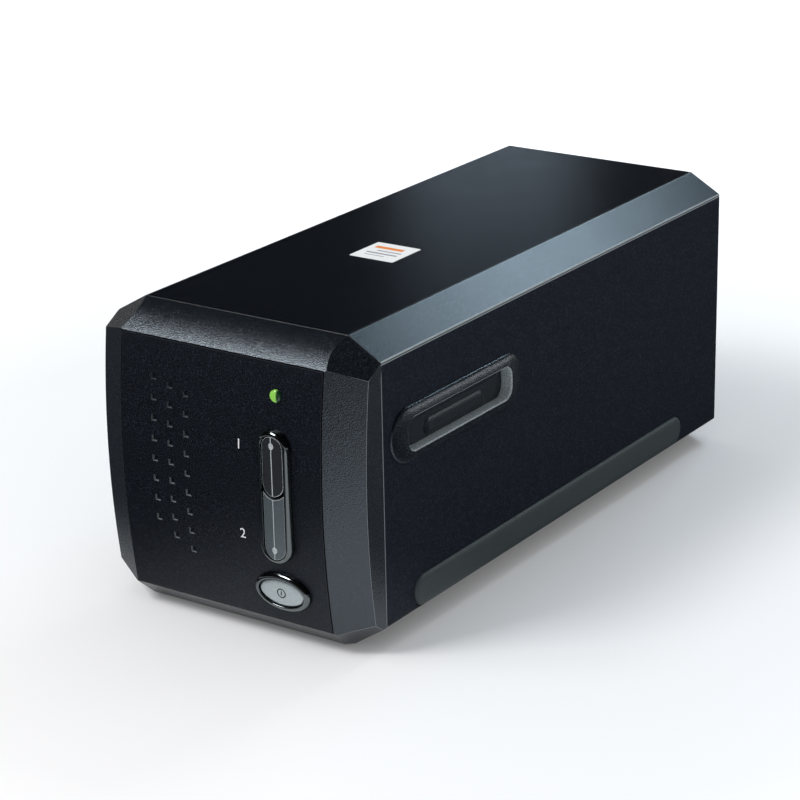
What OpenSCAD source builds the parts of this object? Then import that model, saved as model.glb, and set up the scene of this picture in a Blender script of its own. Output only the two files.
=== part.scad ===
// Film negative scanner: a long eight-sided desktop casing with a film tunnel across it.
// A holder slides through the tunnel past two dust flaps, while a carriage with the lamp above
// the film and the mirror, lens and sensor below it travels fore and aft on two guide rods.
// Millimetres. X is right, Y is back, Z is up. The origin is on the table under the centre.

/* [Casing] */
// Width across the flat sides
casing_w = 118.6; // [112:0.2:126]
// Depth from the front of the bezel to the back
casing_d = 272; // [266:1:290]
// Height of the top above the table
casing_top = 118.6; // [117:0.2:126]
// Height of the rubber feet under the casing
foot_h = 1.5; // [1:0.1:3]
// Wall thickness of the shells
wall = 2.2; // [1.6:0.1:2.8]
// Sideways run of the top chamfers
chamfer_run = 13.8; // [12:0.2:16]
// Drop of the top chamfers
chamfer_rise = 7.9; // [6:0.1:9]
// Sideways run of the bottom chamfers
belly_run = 11.9; // [10:0.1:13]
// Rise of the bottom chamfers
belly_rise = 7.9; // [6:0.1:8.5]
// Part of the upright side that belongs to the top cover
cover_skirt = 0.8; // [0.4:0.1:2]
// Clearance between shells that slot into each other
shell_gap = 0.15; // [0.1:0.05:0.3]

/* [Bezel] */
// Depth of the bezel, from its front to the seam
bezel_d = 18.1; // [17:0.1:22]
// Half the width of the front panel's window
window_half_w = 45.5; // [42:0.1:47]
// Lower edge of the window
window_bottom = 8.9; // [8:0.1:12]
// Upper edge of the window
window_top = 109.5; // [106:0.1:110]
// Radius of the bulge of the front
bulge_r = 336; // [280:2:600]
// Height at which the front bulges furthest
bulge_z = 62.2; // [56:0.1:66]
// How far back the bezel's side edges lie behind the front
side_bevel_drop = 7.5; // [6:0.1:9]
// Thickness of the front panel
panel_t = 2.4; // [2:0.1:3]
// Gap round the front panel
panel_gap = 0.35; // [0.2:0.05:0.6]

/* [Dimples] */
// Side of each square dimple
dimple_side = 2.3; // [1.6:0.1:3]
// Depth of the dimples
dimple_depth = 0.8; // [0.4:0.1:1.2]
// Gap between the dimple columns
dimple_pitch = 7.4; // [6:0.1:8]
// Place of the outermost dimple column
dimple_x = -30; // [-34:0.5:-28]

/* [Controls] */
// Place of the controls to the right of the middle
control_x = 25.3; // [24:0.1:27]
// How far the button frame stands out of the front
control_proud = 2.4; // [1.6:0.1:3.4]
// Width of the button frame
capsule_w = 14.2; // [13.4:0.1:15]
// Height of the button frame
capsule_h = 51.2; // [48:0.2:53]
// Height of the button frame's centre above the table
capsule_z = 59.5; // [58:0.5:62]
// Width of the two buttons
button_w = 9.2; // [8.6:0.1:9.6]
// Gap round the buttons
button_gap = 0.25; // [0.15:0.05:0.4]
// Gap between the two buttons
button_split = 1.2; // [0.8:0.1:2]
// Travel of the buttons
button_travel = 0.8; // [0.4:0.1:1]
// Diameter of the stems that guide the buttons
stem_d = 2.6; // [2:0.1:3]
// Height of the power button's centre above the table
power_z = 21.9; // [21:0.1:24]
// Width of the power button's ring
ring_w = 24.7; // [23:0.1:25]
// Height of the power button's ring
ring_h = 15.4; // [14:0.1:16]
// Width of the power button
power_w = 19.6; // [18:0.1:20]
// Height of the power button
power_h = 10.6; // [10:0.1:11.4]
// Height of the status light above the table
light_z = 97.2; // [94:0.1:100]
// Diameter of the status light
light_d = 4.7; // [3.6:0.1:5.6]

/* [Film tunnel] */
// Distance of the tunnel's centre behind the bezel's seam
slot_back = 48.3; // [47:0.1:54]
// Height of the tunnel's centre above the table
slot_z = 79.3; // [78:0.1:81]
// Length of the tunnel's mouth
slot_l = 69; // [64:0.5:70]
// Height of the tunnel's mouth
slot_h = 12.7; // [12:0.1:13.4]
// Corner radius of the tunnel's mouth
slot_corner = 4.5; // [3.5:0.1:5]
// Length of the raised rim
rim_l = 87.3; // [84:0.1:90]
// Height of the raised rim
rim_h = 21.3; // [20:0.1:23]
// How far the rim stands out of the casing
rim_proud = 2.2; // [1.2:0.1:3]
// Reach of the slot frames into the casing
neck_l = 11.8; // [11:0.1:12.6]
// Thickness of the dust flaps
flap_t = 1.4; // [1:0.1:1.6]
// Gap round the dust flaps
flap_gap = 0.3; // [0.2:0.05:0.5]
// Gap between a flap's ends and the ends of the tunnel
flap_end_gap = 1.5; // [1.3:0.1:2.5]
// Diameter of the flap hinge pins
flap_pin_d = 1.6; // [1.2:0.1:2]
// Outer diameter of the flap's hinge barrel
barrel_d = 3.4; // [3:0.1:3.8]
// How far the flap's hinge lies inside the casing's flat side
flap_inset = 2.4; // [2.2:0.1:3.6]

/* [Trim] */
// Length of the side strips
strip_l = 203; // [160:1:206]
// Distance of the strips behind the bezel's seam
strip_back = 18.3; // [12:0.1:24]
// Height of the side strips
strip_h = 12.1; // [10:0.1:14]
// How far the strips stand out
strip_proud = 1; // [0.5:0.1:1.6]
// Depth of the pockets that strips and feet sit in
pocket = 0.8; // [0.5:0.1:1]
// Side of the square label on the top
label_side = 20.2; // [14:0.1:26]
// Distance of the label's centre behind the bezel's seam
label_back = 89.7; // [80:0.1:160]
// Diameter of the rubber feet
foot_d = 14; // [10:0.5:16]

/* [Chassis] */
// Thickness of the sheet metal
sheet = 1.5; // [1.2:0.1:2]
// Height of the chassis plate's underside
chassis_z = 9; // [8.4:0.1:10]
// Half the width of the chassis plate
chassis_half_w = 53; // [52.6:0.1:54]
// Diameter of the guide rods
rod_d = 6; // [5:0.5:7]
// Distance of each rod from the middle
rod_x = 32; // [31.6:0.1:32.4]
// Height of the rods
rod_z = 26; // [24:0.5:27]
// Distance between the two rod brackets, from face to face
rod_span = 208; // [206:1:212]

/* [Carriage] */
// Travel of the carriage
scan_travel = 36; // [30:1:38]
// Half the width of the carriage
carriage_half_w = 39; // [38.6:0.1:39.4]
// Height of the optical axis
optic_z = 45; // [44:0.5:46]
// Length of the mirror
mirror_l = 56; // [50:1:57]
// Width of the mirror
mirror_w = 32; // [28:1:33]
// Diameter of the lens barrel
lens_d = 26; // [22:0.5:28]
// Length of the lens barrel
lens_l = 26; // [20:1:34]

/* [Drive] */
// Gear module
gear_module = 0.8; // [0.7:0.05:0.8]
// Teeth on the drive gear
gear_teeth = 36; // [32:1:36]
// Teeth on the motor pinion
pinion_teeth = 12; // [11:1:13]
// Face width of the gears
gear_t = 3.5; // [3:0.1:4]
// Height of the pulley axes
drive_z = 30; // [29:0.5:31]
// Radius on which the belt runs
belt_r = 6; // [5.4:0.1:6.4]
// Thickness of the belt
belt_t = 1; // [0.8:0.1:1.2]
// Width of the belt
belt_w = 3; // [2.4:0.1:3.2]
// Diameter of the stepper motor
motor_d = 24; // [20:1:24]
// Length of the stepper motor
motor_l = 18; // [14:1:20]

/* [Hidden] */
$fn = 48;
eps = 0.01;

// Places along the casing
front_y = -(casing_d - control_proud) / 2;
rear_y = (casing_d + control_proud) / 2;
seam_y = front_y + bezel_d;
side_x = casing_w / 2;
inner_x = side_x - wall;
cover_z = casing_top - chamfer_rise - cover_skirt;
side_bottom = foot_h + belly_rise;
bezel_wall = 2 * wall - 0.45;
lip = 1.6;
lip_l = 8;

// Rear panel and the screws that hold it
rear_panel_t = 2.5;
rear_recess = 1;
screw_d = 3;
screw_head_d = 5.6;
screw_head_t = 1.8;
screw_l = 9;
pilot = 0.05;
rear_out_y = rear_y - rear_recess;
rear_in_y = rear_out_y - rear_panel_t;
rear_low = [side_x - 6.1, 20];
rear_high = [40, casing_top - 6.1];

// Front panel controls
button_l = capsule_h / 2 - 2;
cap_front = 2;
cap_t = 6;
tub_floor = 6;
tub_floor_t = 2;
stem_gap = 0.03;
clip_d = stem_d + 1;
front_board_y = 13.6;
board_t = 1.6;
switch_y = front_board_y - 3.5;
power_face = pow(power_z - bulge_z, 2) / (2 * bulge_r);
power_tilt = asin((bulge_z - power_z) / bulge_r);
light_face = pow(light_z - bulge_z, 2) / (2 * bulge_r);
board_x0 = control_x - 13.3;
board_x1 = control_x + 13.3;
board_z0 = 13;
board_z1 = 104;
boss_x = 10.9;
boss_z = [33, 92];

// Film tunnel
slot_y = seam_y + slot_back;
slot_floor = slot_z - slot_h / 2;
slot_ceiling = slot_z + slot_h / 2;
neck_x = side_x - neck_l;
neck_rim = 3.5;
flap_x = side_x - flap_inset;
flap_z = slot_ceiling - barrel_d / 2 - flap_gap;
barrel_half = slot_l / 2 - 6;
flap_spring_l = 3;
pin_half = slot_l / 2 + 2.5;
track_t = 2.2;
neck_top = track_t;
rail_t = 2;
rail_h = 11;
aperture = [40, 42];

// Chassis and rods
chassis_top = chassis_z + sheet;
chassis_y0 = seam_y + 9;
chassis_y1 = rear_in_y - 7;
rod_y0 = seam_y + 12.7;
rod_y1 = rod_y0 + rod_span;
rod_end = 2;
rod_fit = 0.02;
case_screw = [26, 27, 20];
foot_at = [38, 22, 22];
leg_x = chassis_half_w - 2;

// Carriage, drawn at its home place
home_y = slot_y + scan_travel / 2;
base_y0 = home_y - 16;
base_y1 = rod_y1 - 13;
base_floor = 14;
base_t = 3;
base_top = 58;
post_y0 = slot_y + slot_l / 2 + rail_t + scan_travel + 1.5;
post_d = 12;
arm_w = 6;
arm_z = 97;
arm_t = 9;
lamp_half_y = 10;
lamp_z = 92;
lens_y = post_y0 + 8;
bush_l = 10;
bush_wall = 1.5;
strap_t = 1.2;
ccd_y = base_y1 - 3;
ccd_half_w = rod_x - rod_d / 2 - 2;
mirror_t = 3;
mirror_bed = mirror_t + 0.02;

// Drive
gear_y = rod_y1 - 2.5;
idler_y = rod_y0 + 6;
belt_x = -carriage_half_w - 5;
plate_x = -carriage_half_w - 0.5;
gear_x = belt_x - belt_w / 2 - 1.5;
axle_d = 3;
axle_gap = 0.03;
groove = belt_w + 0.8;
flange_t = 0.8;
centre_distance = gear_module * (gear_teeth + pinion_teeth) / 2;
motor_y = gear_y + centre_distance;
shaft_d = 2;

// Boards
main_board_z = 70;
main_board_y0 = post_y0 + post_d + 14;
main_board_y1 = rear_in_y - 5;
main_board_half = inner_x - 4;
socket_x = 22;
main_screw_x = main_board_half - 3;
main_screw_y = [main_board_y0 + 6, main_board_y1 - 6];
main_hole_d = 2.4;
chip = [28, 28, 2.4];
memory_chip = [8, 20, 1.2];
memory_x = [24, 36];
capacitor_d = 8;
capacitor_h = 12;
capacitor_x = [-40, -30];
coil_box = [12, 12, 6];
header_box = [12, 5, 3.5];

// ---------- helpers ----------

// Extrudes a profile drawn in X and Z from y0 back to y1
module along_y(y0, y1) translate([0, y1, 0]) rotate([90, 0, 0]) linear_extrude(y1 - y0) children();

// Extrudes a profile drawn in Y and Z from x0 to x1
module along_x(x0, x1) translate([x0, 0, 0]) rotate([90, 0, 90]) linear_extrude(x1 - x0) children();

// Box between two corners
module block(a, b) translate(a) cube(b - a);

// Round bar along Y, and the same along X
module bar_y(p, r, l) translate(p) rotate([-90, 0, 0]) cylinder(r = r, h = l);
module bar_x(p, r, l) translate(p) rotate([0, 90, 0]) cylinder(r = r, h = l);

// Draws its child on the right and again on the left
module both_sides() {
    children();
    mirror([1, 0, 0]) children();
}

// The casing's eight-sided outline, drawn in by t all round
function octagon(t) =
    let (top_len = norm([chamfer_run, chamfer_rise]), low_len = norm([belly_run, belly_rise]),
        x = side_x - t,
        top_x = side_x - chamfer_run - t * (top_len - chamfer_run) / chamfer_rise,
        top_z = casing_top - chamfer_rise - t * (top_len - chamfer_rise) / chamfer_run,
        low_x = side_x - belly_run - t * (low_len - belly_run) / belly_rise,
        low_z = foot_h + belly_rise + t * (low_len - belly_rise) / belly_run)
    [[low_x, foot_h + t], [x, low_z], [x, top_z], [top_x, casing_top - t],
     [-top_x, casing_top - t], [-x, top_z], [-x, low_z], [-low_x, foot_h + t]];

// A tube of that outline between two depths of inset
module casing_ring(y0, y1, outer, inner) difference() {
    along_y(y0, y1) polygon(octagon(outer));
    along_y(y0 - 1, y1 + 1) polygon(octagon(inner));
}

// Everything outside the plane through three points
module outside(a, b, c, size = 200) {
    n = cross(b - a, c - a) / norm(cross(b - a, c - a));
    translate(a) rotate([0, acos(n[2]), atan2(n[1], n[0])])
        translate([-size, -size, 0]) cube([2 * size, 2 * size, size]);
}

// Slot-shaped outline with round ends, and a rectangle with round corners
module stadium(l, h) {
    square([l - h, h], center = true);
    for (s = [-1, 1]) translate([s * (l - h) / 2, 0]) circle(d = h);
}
module rounded(l, h, r) {
    square([l - 2 * r, h], center = true);
    square([l, h - 2 * r], center = true);
    for (sx = [-1, 1], sy = [-1, 1]) translate([sx * (l / 2 - r), sy * (h / 2 - r)]) circle(r);
}
module ellipse(w, h, steps = 48)
    polygon([for (i = [0:steps - 1]) [w / 2 * cos(i * 360 / steps), h / 2 * sin(i * 360 / steps)]]);

// Close-wound spring of round wire along Z
module coil(mean_r, wire_r, l, turns)
    for (i = [0:turns - 1])
        translate([0, 0, wire_r + i * (l - 2 * wire_r) / (turns - 1)])
            rotate_extrude() translate([mean_r, 0]) circle(wire_r);

// Screw along Z, its head's underside at 0 and its shank below
module screw(d, l, head_d, head_t) difference() {
    union() {
        translate([0, 0, -l]) cylinder(d = d, h = l + eps);
        cylinder(d = head_d, h = head_t);
    }
    for (a = [0, 90]) translate([0, 0, head_t]) rotate(a) cube([head_d * 0.6, 0.8, 1.6], center = true);
}

// Involute gear outline with shortened teeth, a tooth on its first axis
function involute(rb, t) = rb * [cos(t) + t * PI / 180 * sin(t), sin(t) - t * PI / 180 * cos(t)];
function turned(p, a) = [p[0] * cos(a) - p[1] * sin(a), p[0] * sin(a) + p[1] * cos(a)];
function roll_to(rb, r) = r <= rb ? 0 : sqrt(r * r / (rb * rb) - 1) * 180 / PI;
module gear_outline(m, z, backlash = 0.1) {
    pressure = 20;
    r = m * z / 2;
    rb = r * cos(pressure);
    ra = r + 0.8 * m;
    rf = r - 1.1 * m;
    steps = 4;
    half = 90 / z - backlash / (2 * r) * 180 / PI
        + (tan(pressure) * 180 / PI - pressure);
    flank = [for (i = [0:steps]) involute(rb, roll_to(rb, ra) * i / steps)];
    tooth = concat([rf * [cos(0), sin(0)]], flank);
    polygon([for (k = [0:z - 1]) each concat(
        [for (p = tooth) turned(p, k * 360 / z - half)],
        [for (i = [len(tooth) - 1:-1:0]) turned([tooth[i][0], -tooth[i][1]], k * 360 / z + half)])]);
}

// ---------- casing ----------

// Cutout in the side wall for a slot frame's neck
module neck_outline(gap) rounded(slot_l + 2 * neck_rim + 2 * gap, slot_h + 2 * neck_top + 2 * gap,
    slot_corner + 1 + gap);

module strip_outline(gap) translate([seam_y + strip_back + strip_l / 2, side_bottom + strip_h / 2 + 0.3])
    rounded(strip_l + 2 * gap, strip_h + 2 * gap, strip_h / 2 - 0.5 + gap);

module rear_post(at, to) difference() {
    block([at[0] - 4, rear_in_y - 10, at[1] - 4], [to[0], rear_in_y, to[1]]);
    bar_y([at[0], rear_in_y - 9, at[1]], screw_d / 2 + pilot, 10);
}

module lower_case() color([0.07, 0.08, 0.1]) difference() {
    union() {
        difference() {
            casing_ring(seam_y, rear_y, 0, wall);
            block([-side_x - 1, seam_y - 1, cover_z], [side_x + 1, rear_y + 1, casing_top + 1]);
        }
        // stop for the rear panel
        difference() {
            casing_ring(rear_in_y - 2, rear_in_y, wall / 2, wall + lip);
            block([-side_x - 1, rear_in_y - 3, cover_z - 4], [side_x + 1, rear_y + 1, casing_top + 1]);
        }
        both_sides() {
            rear_post(rear_low, [inner_x + wall / 2, rear_low[1] + 4]);
            // ledge that carries the main board
            block([inner_x - 9, main_board_y0, main_board_z - 3],
                [inner_x + wall / 2, main_board_y1, main_board_z]);
            // bosses under the chassis
            for (y = [seam_y + case_screw[1], rear_y - case_screw[2]])
                translate([case_screw[0], y, foot_h + wall / 2])
                    cylinder(d = 9, h = chassis_z - foot_h - wall / 2);
        }
    }
    both_sides() {
        along_x(side_x - wall - 1, side_x + 1) translate([slot_y, slot_z]) neck_outline(0.2);
        along_x(side_x - pocket, side_x + 1) strip_outline(0.1);
        for (y = [seam_y + foot_at[1], rear_y - foot_at[2]])
            translate([foot_at[0], y, foot_h - 1]) cylinder(d = foot_d + 0.2, h = pocket + 1);
        for (y = [seam_y + case_screw[1], rear_y - case_screw[2]])
            translate([case_screw[0], y, foot_h - 1]) {
                cylinder(d = screw_d + 0.5, h = chassis_z);
                cylinder(d = screw_head_d + 0.6, h = 4);
            }
        // holes for the main board's screws
        for (y = main_screw_y)
            translate([main_screw_x, y, main_board_z - 2.5]) cylinder(d = 2.1, h = 4);
    }
}

module top_cover() color([0.05, 0.055, 0.065]) difference() {
    union() {
        difference() {
            casing_ring(seam_y, rear_y, 0, wall);
            block([-side_x - 1, seam_y - 1, 0], [side_x + 1, rear_y + 1, cover_z]);
        }
        // tongue inside the lower case
        difference() {
            casing_ring(seam_y + lip_l + 3, rear_in_y - 3, wall + shell_gap, wall + shell_gap + lip);
            block([-side_x, seam_y, 0], [side_x, rear_y, cover_z - 4]);
        }
        difference() {
            casing_ring(seam_y + lip_l + 3, rear_in_y - 3, wall / 2, wall + lip);
            block([-side_x, seam_y, 0], [side_x, rear_y, cover_z + 2]);
        }
        // stop for the rear panel
        difference() {
            casing_ring(rear_in_y - 2, rear_in_y, wall / 2, wall + lip);
            block([-side_x - 1, rear_in_y - 3, 0], [side_x + 1, rear_y + 1, cover_z]);
        }
        both_sides() rear_post(rear_high, [rear_high[0] + 4, casing_top - wall / 2]);
    }
    translate([-label_side / 2 - 0.1, seam_y + label_back - label_side / 2 - 0.1, casing_top - 0.15])
        cube([label_side + 0.2, label_side + 0.2, 1]);
}

// Outer form of the bezel: bulging front, side bevels, rounded top edge, facets at the corners
module bezel_form() {
    bevel_run = side_x - window_half_w;
    bevel_n = [side_bevel_drop, -bevel_run, 0] / norm([side_bevel_drop, bevel_run]);
    bevel_r = -bulge_r / bevel_n[1];
    brow = [window_half_w, front_y + pow(window_top - bulge_z, 2) / (2 * bulge_r), window_top];
    chin = [window_half_w, front_y + pow(window_bottom - bulge_z, 2) / (2 * bulge_r), window_bottom];
    crown = [window_half_w, seam_y, casing_top];
    crown_side = [side_x, seam_y, casing_top - chamfer_rise];
    sole = [side_x - belly_run - 2.9, seam_y - 5.7, foot_h];
    cheek = [side_x, seam_y - 7, window_bottom + 4];
    across = [1, 0, 0];
    brow_r = 24;
    chord = crown - brow;
    brow_centre = (brow + crown) / 2
        + sqrt(brow_r * brow_r - pow(norm(chord) / 2, 2)) * cross(chord, across) / norm(chord) * -1;
    difference() {
        intersection() {
            along_y(front_y - 1, seam_y) polygon(octagon(0));
            bar_x([-100, front_y + bulge_r, bulge_z], bulge_r, 200, $fn = 96);
            for (s = [0, 1]) mirror([s, 0, 0])
                translate([window_half_w, front_y, bulge_z] - bevel_n * bevel_r)
                    rotate([0, 90, atan2(side_bevel_drop, bevel_run)])
                        cylinder(r = bevel_r, h = 400, center = true);
        }
        difference() {
            outside(brow, brow + across, crown);
            bar_x([-100, brow_centre[1], brow_centre[2]], brow_r, 200);
        }
        outside(chin + across, chin, sole);
        both_sides() {
            outside(brow, crown_side, crown);
            outside(cheek, chin, sole);
        }
    }
}

module bezel_frame() color([0.09, 0.1, 0.12]) difference() {
    union() {
        bezel_form();
        casing_ring(seam_y - eps, seam_y + lip_l, wall + shell_gap, bezel_wall);
    }
    // window for the front panel, and the ledge behind it
    difference() {
        block([-window_half_w, front_y - 5, window_bottom], [window_half_w, seam_y, window_top]);
        bar_x([-100, front_y + bulge_r, bulge_z], bulge_r - panel_t - 0.05, 200, $fn = 96);
    }
    block([-window_half_w + 3, front_y - 5, window_bottom + 3],
        [window_half_w - 3, seam_y, window_top - 3]);
    block([-window_half_w - 4, front_y + 8, window_bottom + 3],
        [window_half_w + 4, seam_y, window_top - 1]);
    along_y(seam_y - 4, seam_y + lip_l + 1) polygon(octagon(bezel_wall));
}

// ---------- front panel and controls ----------

module capsule_place() along_y(front_y - 10, front_y + 12)
    translate([control_x, capsule_z]) rotate(90) children();
module at_power() translate([control_x, front_y + power_face, power_z]) rotate([power_tilt, 0, 0]) children();
// Profile in X and Z extruded back from y0 to y1 in the power button's own tilted frame
module power_slab(y0, y1) translate([0, y1, 0]) rotate([90, 0, 0]) linear_extrude(y1 - y0) children();

dimple_columns = [[94.7, 39.7, 8], [92.6, 33.7, 9], [90.7, 29.6, 9]];

module front_panel() color([0.05, 0.055, 0.07]) difference() {
    union() {
        difference() {
            intersection() {
                block([-window_half_w + panel_gap, front_y - 1, window_bottom + panel_gap],
                    [window_half_w - panel_gap, front_y + 10, window_top - panel_gap]);
                bar_x([-100, front_y + bulge_r, bulge_z], bulge_r, 200, $fn = 96);
            }
            bar_x([-100, front_y + bulge_r, bulge_z], bulge_r - panel_t, 200, $fn = 96);
        }
        for (s = [-1, 1], z = boss_z)
            bar_y([control_x + s * boss_x, front_y + 2.6, z], 2.5, front_board_y - 2.6);
    }
    for (s = [-1, 1], z = boss_z)
        bar_y([control_x + s * boss_x, front_y + 5, z], 0.95, 10);
    capsule_place() stadium(capsule_h - 1.4, capsule_w - 1.4);
    at_power() power_slab(-5, 6) ellipse(ring_w - 1.6, ring_h - 1.6);
    bar_y([control_x, front_y - 1, light_z], light_d / 2 + 0.02, 10);
    for (i = [0:len(dimple_columns) - 1], column = [dimple_columns[i]])
        for (k = [0:column[2] - 1], z = column[0] + k * (column[1] - column[0]) / (column[2] - 1))
            translate([dimple_x + i * dimple_pitch, front_y + pow(z - bulge_z, 2) / (2 * bulge_r), z])
                cube([dimple_side, 2 * dimple_depth, dimple_side], center = true);
}

module capsule_slab(y0, y1, trim) along_y(front_y + y0, front_y + y1)
    translate([control_x, capsule_z]) rotate(90) stadium(capsule_h - trim, capsule_w - trim);

// The upper button ends in a half circle, and the lower one is hollowed to match it
upper_z0 = capsule_z + 0.8;
upper_centre = upper_z0 + button_w / 2;
button_stem_z = [capsule_z + button_l / 2 + 2.5, capsule_z - button_l / 2 - 2.5];

// What is left of a rim once it is trimmed to sit on the bulging front panel
module on_panel() difference() {
    children();
    bar_x([-100, front_y + bulge_r, bulge_z], bulge_r + 0.05, 200, $fn = 96);
}

module button_frame() color([0.1, 0.1, 0.12]) difference() {
    union() {
        on_panel() hull() {
            capsule_slab(-control_proud, -control_proud + 0.1, 2.9, $fn = 32);
            capsule_slab(-control_proud + 0.6, -control_proud + 0.7, 1.2, $fn = 32);
            capsule_slab(-0.2, 1.5, 0, $fn = 32);
        }
        capsule_slab(-0.5, tub_floor + tub_floor_t, 1.6);
    }
    along_y(front_y - 6, front_y + tub_floor) translate([control_x, capsule_z]) rotate(90)
        stadium(2 * (button_l + button_gap), button_w + 2 * button_gap);
    for (z = button_stem_z)
        bar_y([control_x, front_y, z], stem_d / 2 + stem_gap, 12);
}

// Ridged cap of a button between two heights, cut by its child
module button_cap(z0, z1) intersection() {
    along_y(front_y - 5, front_y + cap_t - cap_front) translate([control_x, capsule_z]) rotate(90)
        stadium(2 * button_l, button_w);
    translate([0, 0, z0]) linear_extrude(z1 - z0)
        polygon([[control_x - button_w, front_y + 5], [control_x - button_w, front_y - cap_front + 0.9],
            [control_x, front_y - cap_front - 0.3], [control_x + button_w, front_y - cap_front + 0.9],
            [control_x + button_w, front_y + 5]]);
}

module button_stem(z) {
    y0 = front_y + cap_t - cap_front;
    bar_y([control_x, y0 - 1, z], stem_d / 2, front_y + switch_y - button_travel - 0.1 - y0 + 1);
    bar_y([control_x, front_y + tub_floor + tub_floor_t + 0.05, z], clip_d / 2, 0.6);
}

module upper_button() color([0.3, 0.31, 0.33]) {
    difference() {
        intersection() {
            button_cap(upper_z0, capsule_z + button_l);
            union() {
                block([control_x - button_w, front_y - 6, upper_centre],
                    [control_x + button_w, front_y + 6, capsule_z + button_l]);
                bar_y([control_x, front_y - 6, upper_centre], button_w / 2, 12);
            }
        }
        bar_y([control_x, front_y - 6, capsule_z + button_l - 3.2], 1.35, 6 - cap_front + 0.1);
    }
    button_stem(button_stem_z[0]);
}

module lower_button() color([0.6, 0.62, 0.65]) {
    difference() {
        button_cap(capsule_z - button_l, upper_centre);
        bar_y([control_x, front_y - 6, upper_centre], button_w / 2 + button_split, 12);
        block([control_x - button_w, front_y - 6, upper_centre - 2.6],
            [control_x + button_w, front_y + 6, upper_centre + 1]);
        bar_y([control_x, front_y - 6, capsule_z - button_l + 3.2], 1.35, 6 - cap_front + 0.1);
    }
    button_stem(button_stem_z[1]);
}

module button_spring(z) color("silver")
    translate([control_x, front_y + cap_t - cap_front + 0.05, z]) rotate([-90, 0, 0])
        coil(stem_d / 2 + 0.75, 0.3, tub_floor - cap_t + cap_front - 0.1, 3);
module upper_button_spring() button_spring(button_stem_z[0]);
module lower_button_spring() button_spring(button_stem_z[1]);

power_proud = 2.1;
power_cap_front = 1.7;
power_stem_y0 = 2.6;
power_tub = 5;

module power_ring() color([0.12, 0.12, 0.14]) difference() {
    union() {
        on_panel() at_power() hull() {
            power_slab(-power_proud, -power_proud + 0.1) ellipse(ring_w - 3.4, ring_h - 3.4);
            power_slab(-power_proud + 0.6, -power_proud + 0.7) ellipse(ring_w - 1.4, ring_h - 1.4);
            power_slab(-0.2, 0.4) ellipse(ring_w, ring_h);
        }
        at_power() power_slab(-0.6, power_tub + 2) ellipse(ring_w - 1.9, ring_h - 1.9);
    }
    at_power() {
        power_slab(-5, power_tub) ellipse(power_w + 2 * button_gap, power_h + 2 * button_gap);
        bar_y([0, 0, 0], stem_d / 2 + stem_gap, 12);
    }
}

module power_button() color([0.78, 0.79, 0.8]) at_power() {
    hull() {
        power_slab(-power_cap_front, -power_cap_front + 0.1) ellipse(power_w - 1.6, power_h - 1.6);
        power_slab(-power_cap_front + 0.6, power_stem_y0) ellipse(power_w, power_h);
    }
    bar_y([0, power_stem_y0 - 0.5, 0], stem_d / 2, power_tub + 3.05 - power_stem_y0);
    bar_y([0, power_tub + 2.05, 0], clip_d / 2, 0.5);
}

module power_button_spring() color("silver") at_power() translate([0, power_stem_y0 + 0.05, 0])
    rotate([-90, 0, 0]) coil(stem_d / 2 + 0.75, 0.3, power_tub - power_stem_y0 - 0.1, 3);

module status_lens() color([0.45, 0.75, 0.25]) {
    intersection() {
        bar_y([control_x, front_y + light_face - 0.4, light_z], light_d / 2, 3);
        translate([control_x, front_y + light_face + 5.6, light_z]) sphere(6);
    }
    bar_y([control_x, front_y + light_face + 2.5, light_z], light_d / 2 - 0.8,
        front_board_y - 1.2 - light_face - 2.5);
}

module front_board() color([0.05, 0.3, 0.15]) difference() {
    block([board_x0, front_y + front_board_y, board_z0],
        [board_x1, front_y + front_board_y + board_t, board_z1]);
    for (s = [-1, 1], z = boss_z)
        bar_y([control_x + s * boss_x, front_y, z], 1.1, 30);
}

module key_switches() color([0.2, 0.2, 0.22])
    for (p = [[button_stem_z[0], switch_y], [button_stem_z[1], switch_y],
            [power_z + 1.4, front_board_y - 2.3]])
        translate([control_x, front_y, p[0]]) {
            block([-3, max(p[1] + 0.6, 0), -3], [3, front_board_y, 3]);
            bar_y([0, p[1], 0], 1.6, 1);
        }

module status_led() color([0.8, 0.9, 0.7])
    block([control_x - 1.6, front_y + front_board_y - 1.1, light_z - 0.8],
        [control_x + 1.6, front_y + front_board_y, light_z + 0.8]);

// ---------- rear ----------

usb_w = 12;
usb_h = 11;
jack_w = 9;
jack_h = 11;
jack_d = 6.6;
board_top = main_board_z + board_t;

module rear_panel() color([0.07, 0.075, 0.085]) difference() {
    along_y(rear_in_y, rear_out_y) polygon(octagon(wall + 0.25));
    both_sides() for (p = [rear_low, rear_high]) {
        bar_y([p[0], rear_in_y - 1, p[1]], screw_d / 2 + 0.2, 5);
        bar_y([p[0], rear_out_y - 1.2, p[1]], screw_head_d / 2 + 0.2, 5);
    }
    block([socket_x - usb_w / 2 - 0.4, rear_in_y - 1, board_top - 0.4],
        [socket_x + usb_w / 2 + 0.4, rear_y, board_top + usb_h + 0.4]);
    block([-socket_x - jack_w / 2 - 0.4, rear_in_y - 1, board_top - 0.4],
        [-socket_x + jack_w / 2 + 0.4, rear_y, board_top + jack_h + 0.4]);
    // slot for a security lock
    along_y(rear_in_y - 1, rear_y) translate([-side_x + 16, main_board_z + 5]) stadium(7, 3);
}

module usb_socket() color("silver") difference() {
    block([socket_x - usb_w / 2, rear_out_y - 16, board_top],
        [socket_x + usb_w / 2, rear_out_y - 0.2, board_top + usb_h]);
    difference() {
        block([socket_x - 4.3, rear_out_y - 13, board_top + 1.5],
            [socket_x + 4.3, rear_out_y + 1, board_top + 9.3]);
        block([socket_x - 2.8, rear_out_y - 14, board_top + 3.9],
            [socket_x + 2.8, rear_out_y - 5, board_top + 7]);
    }
}

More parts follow.
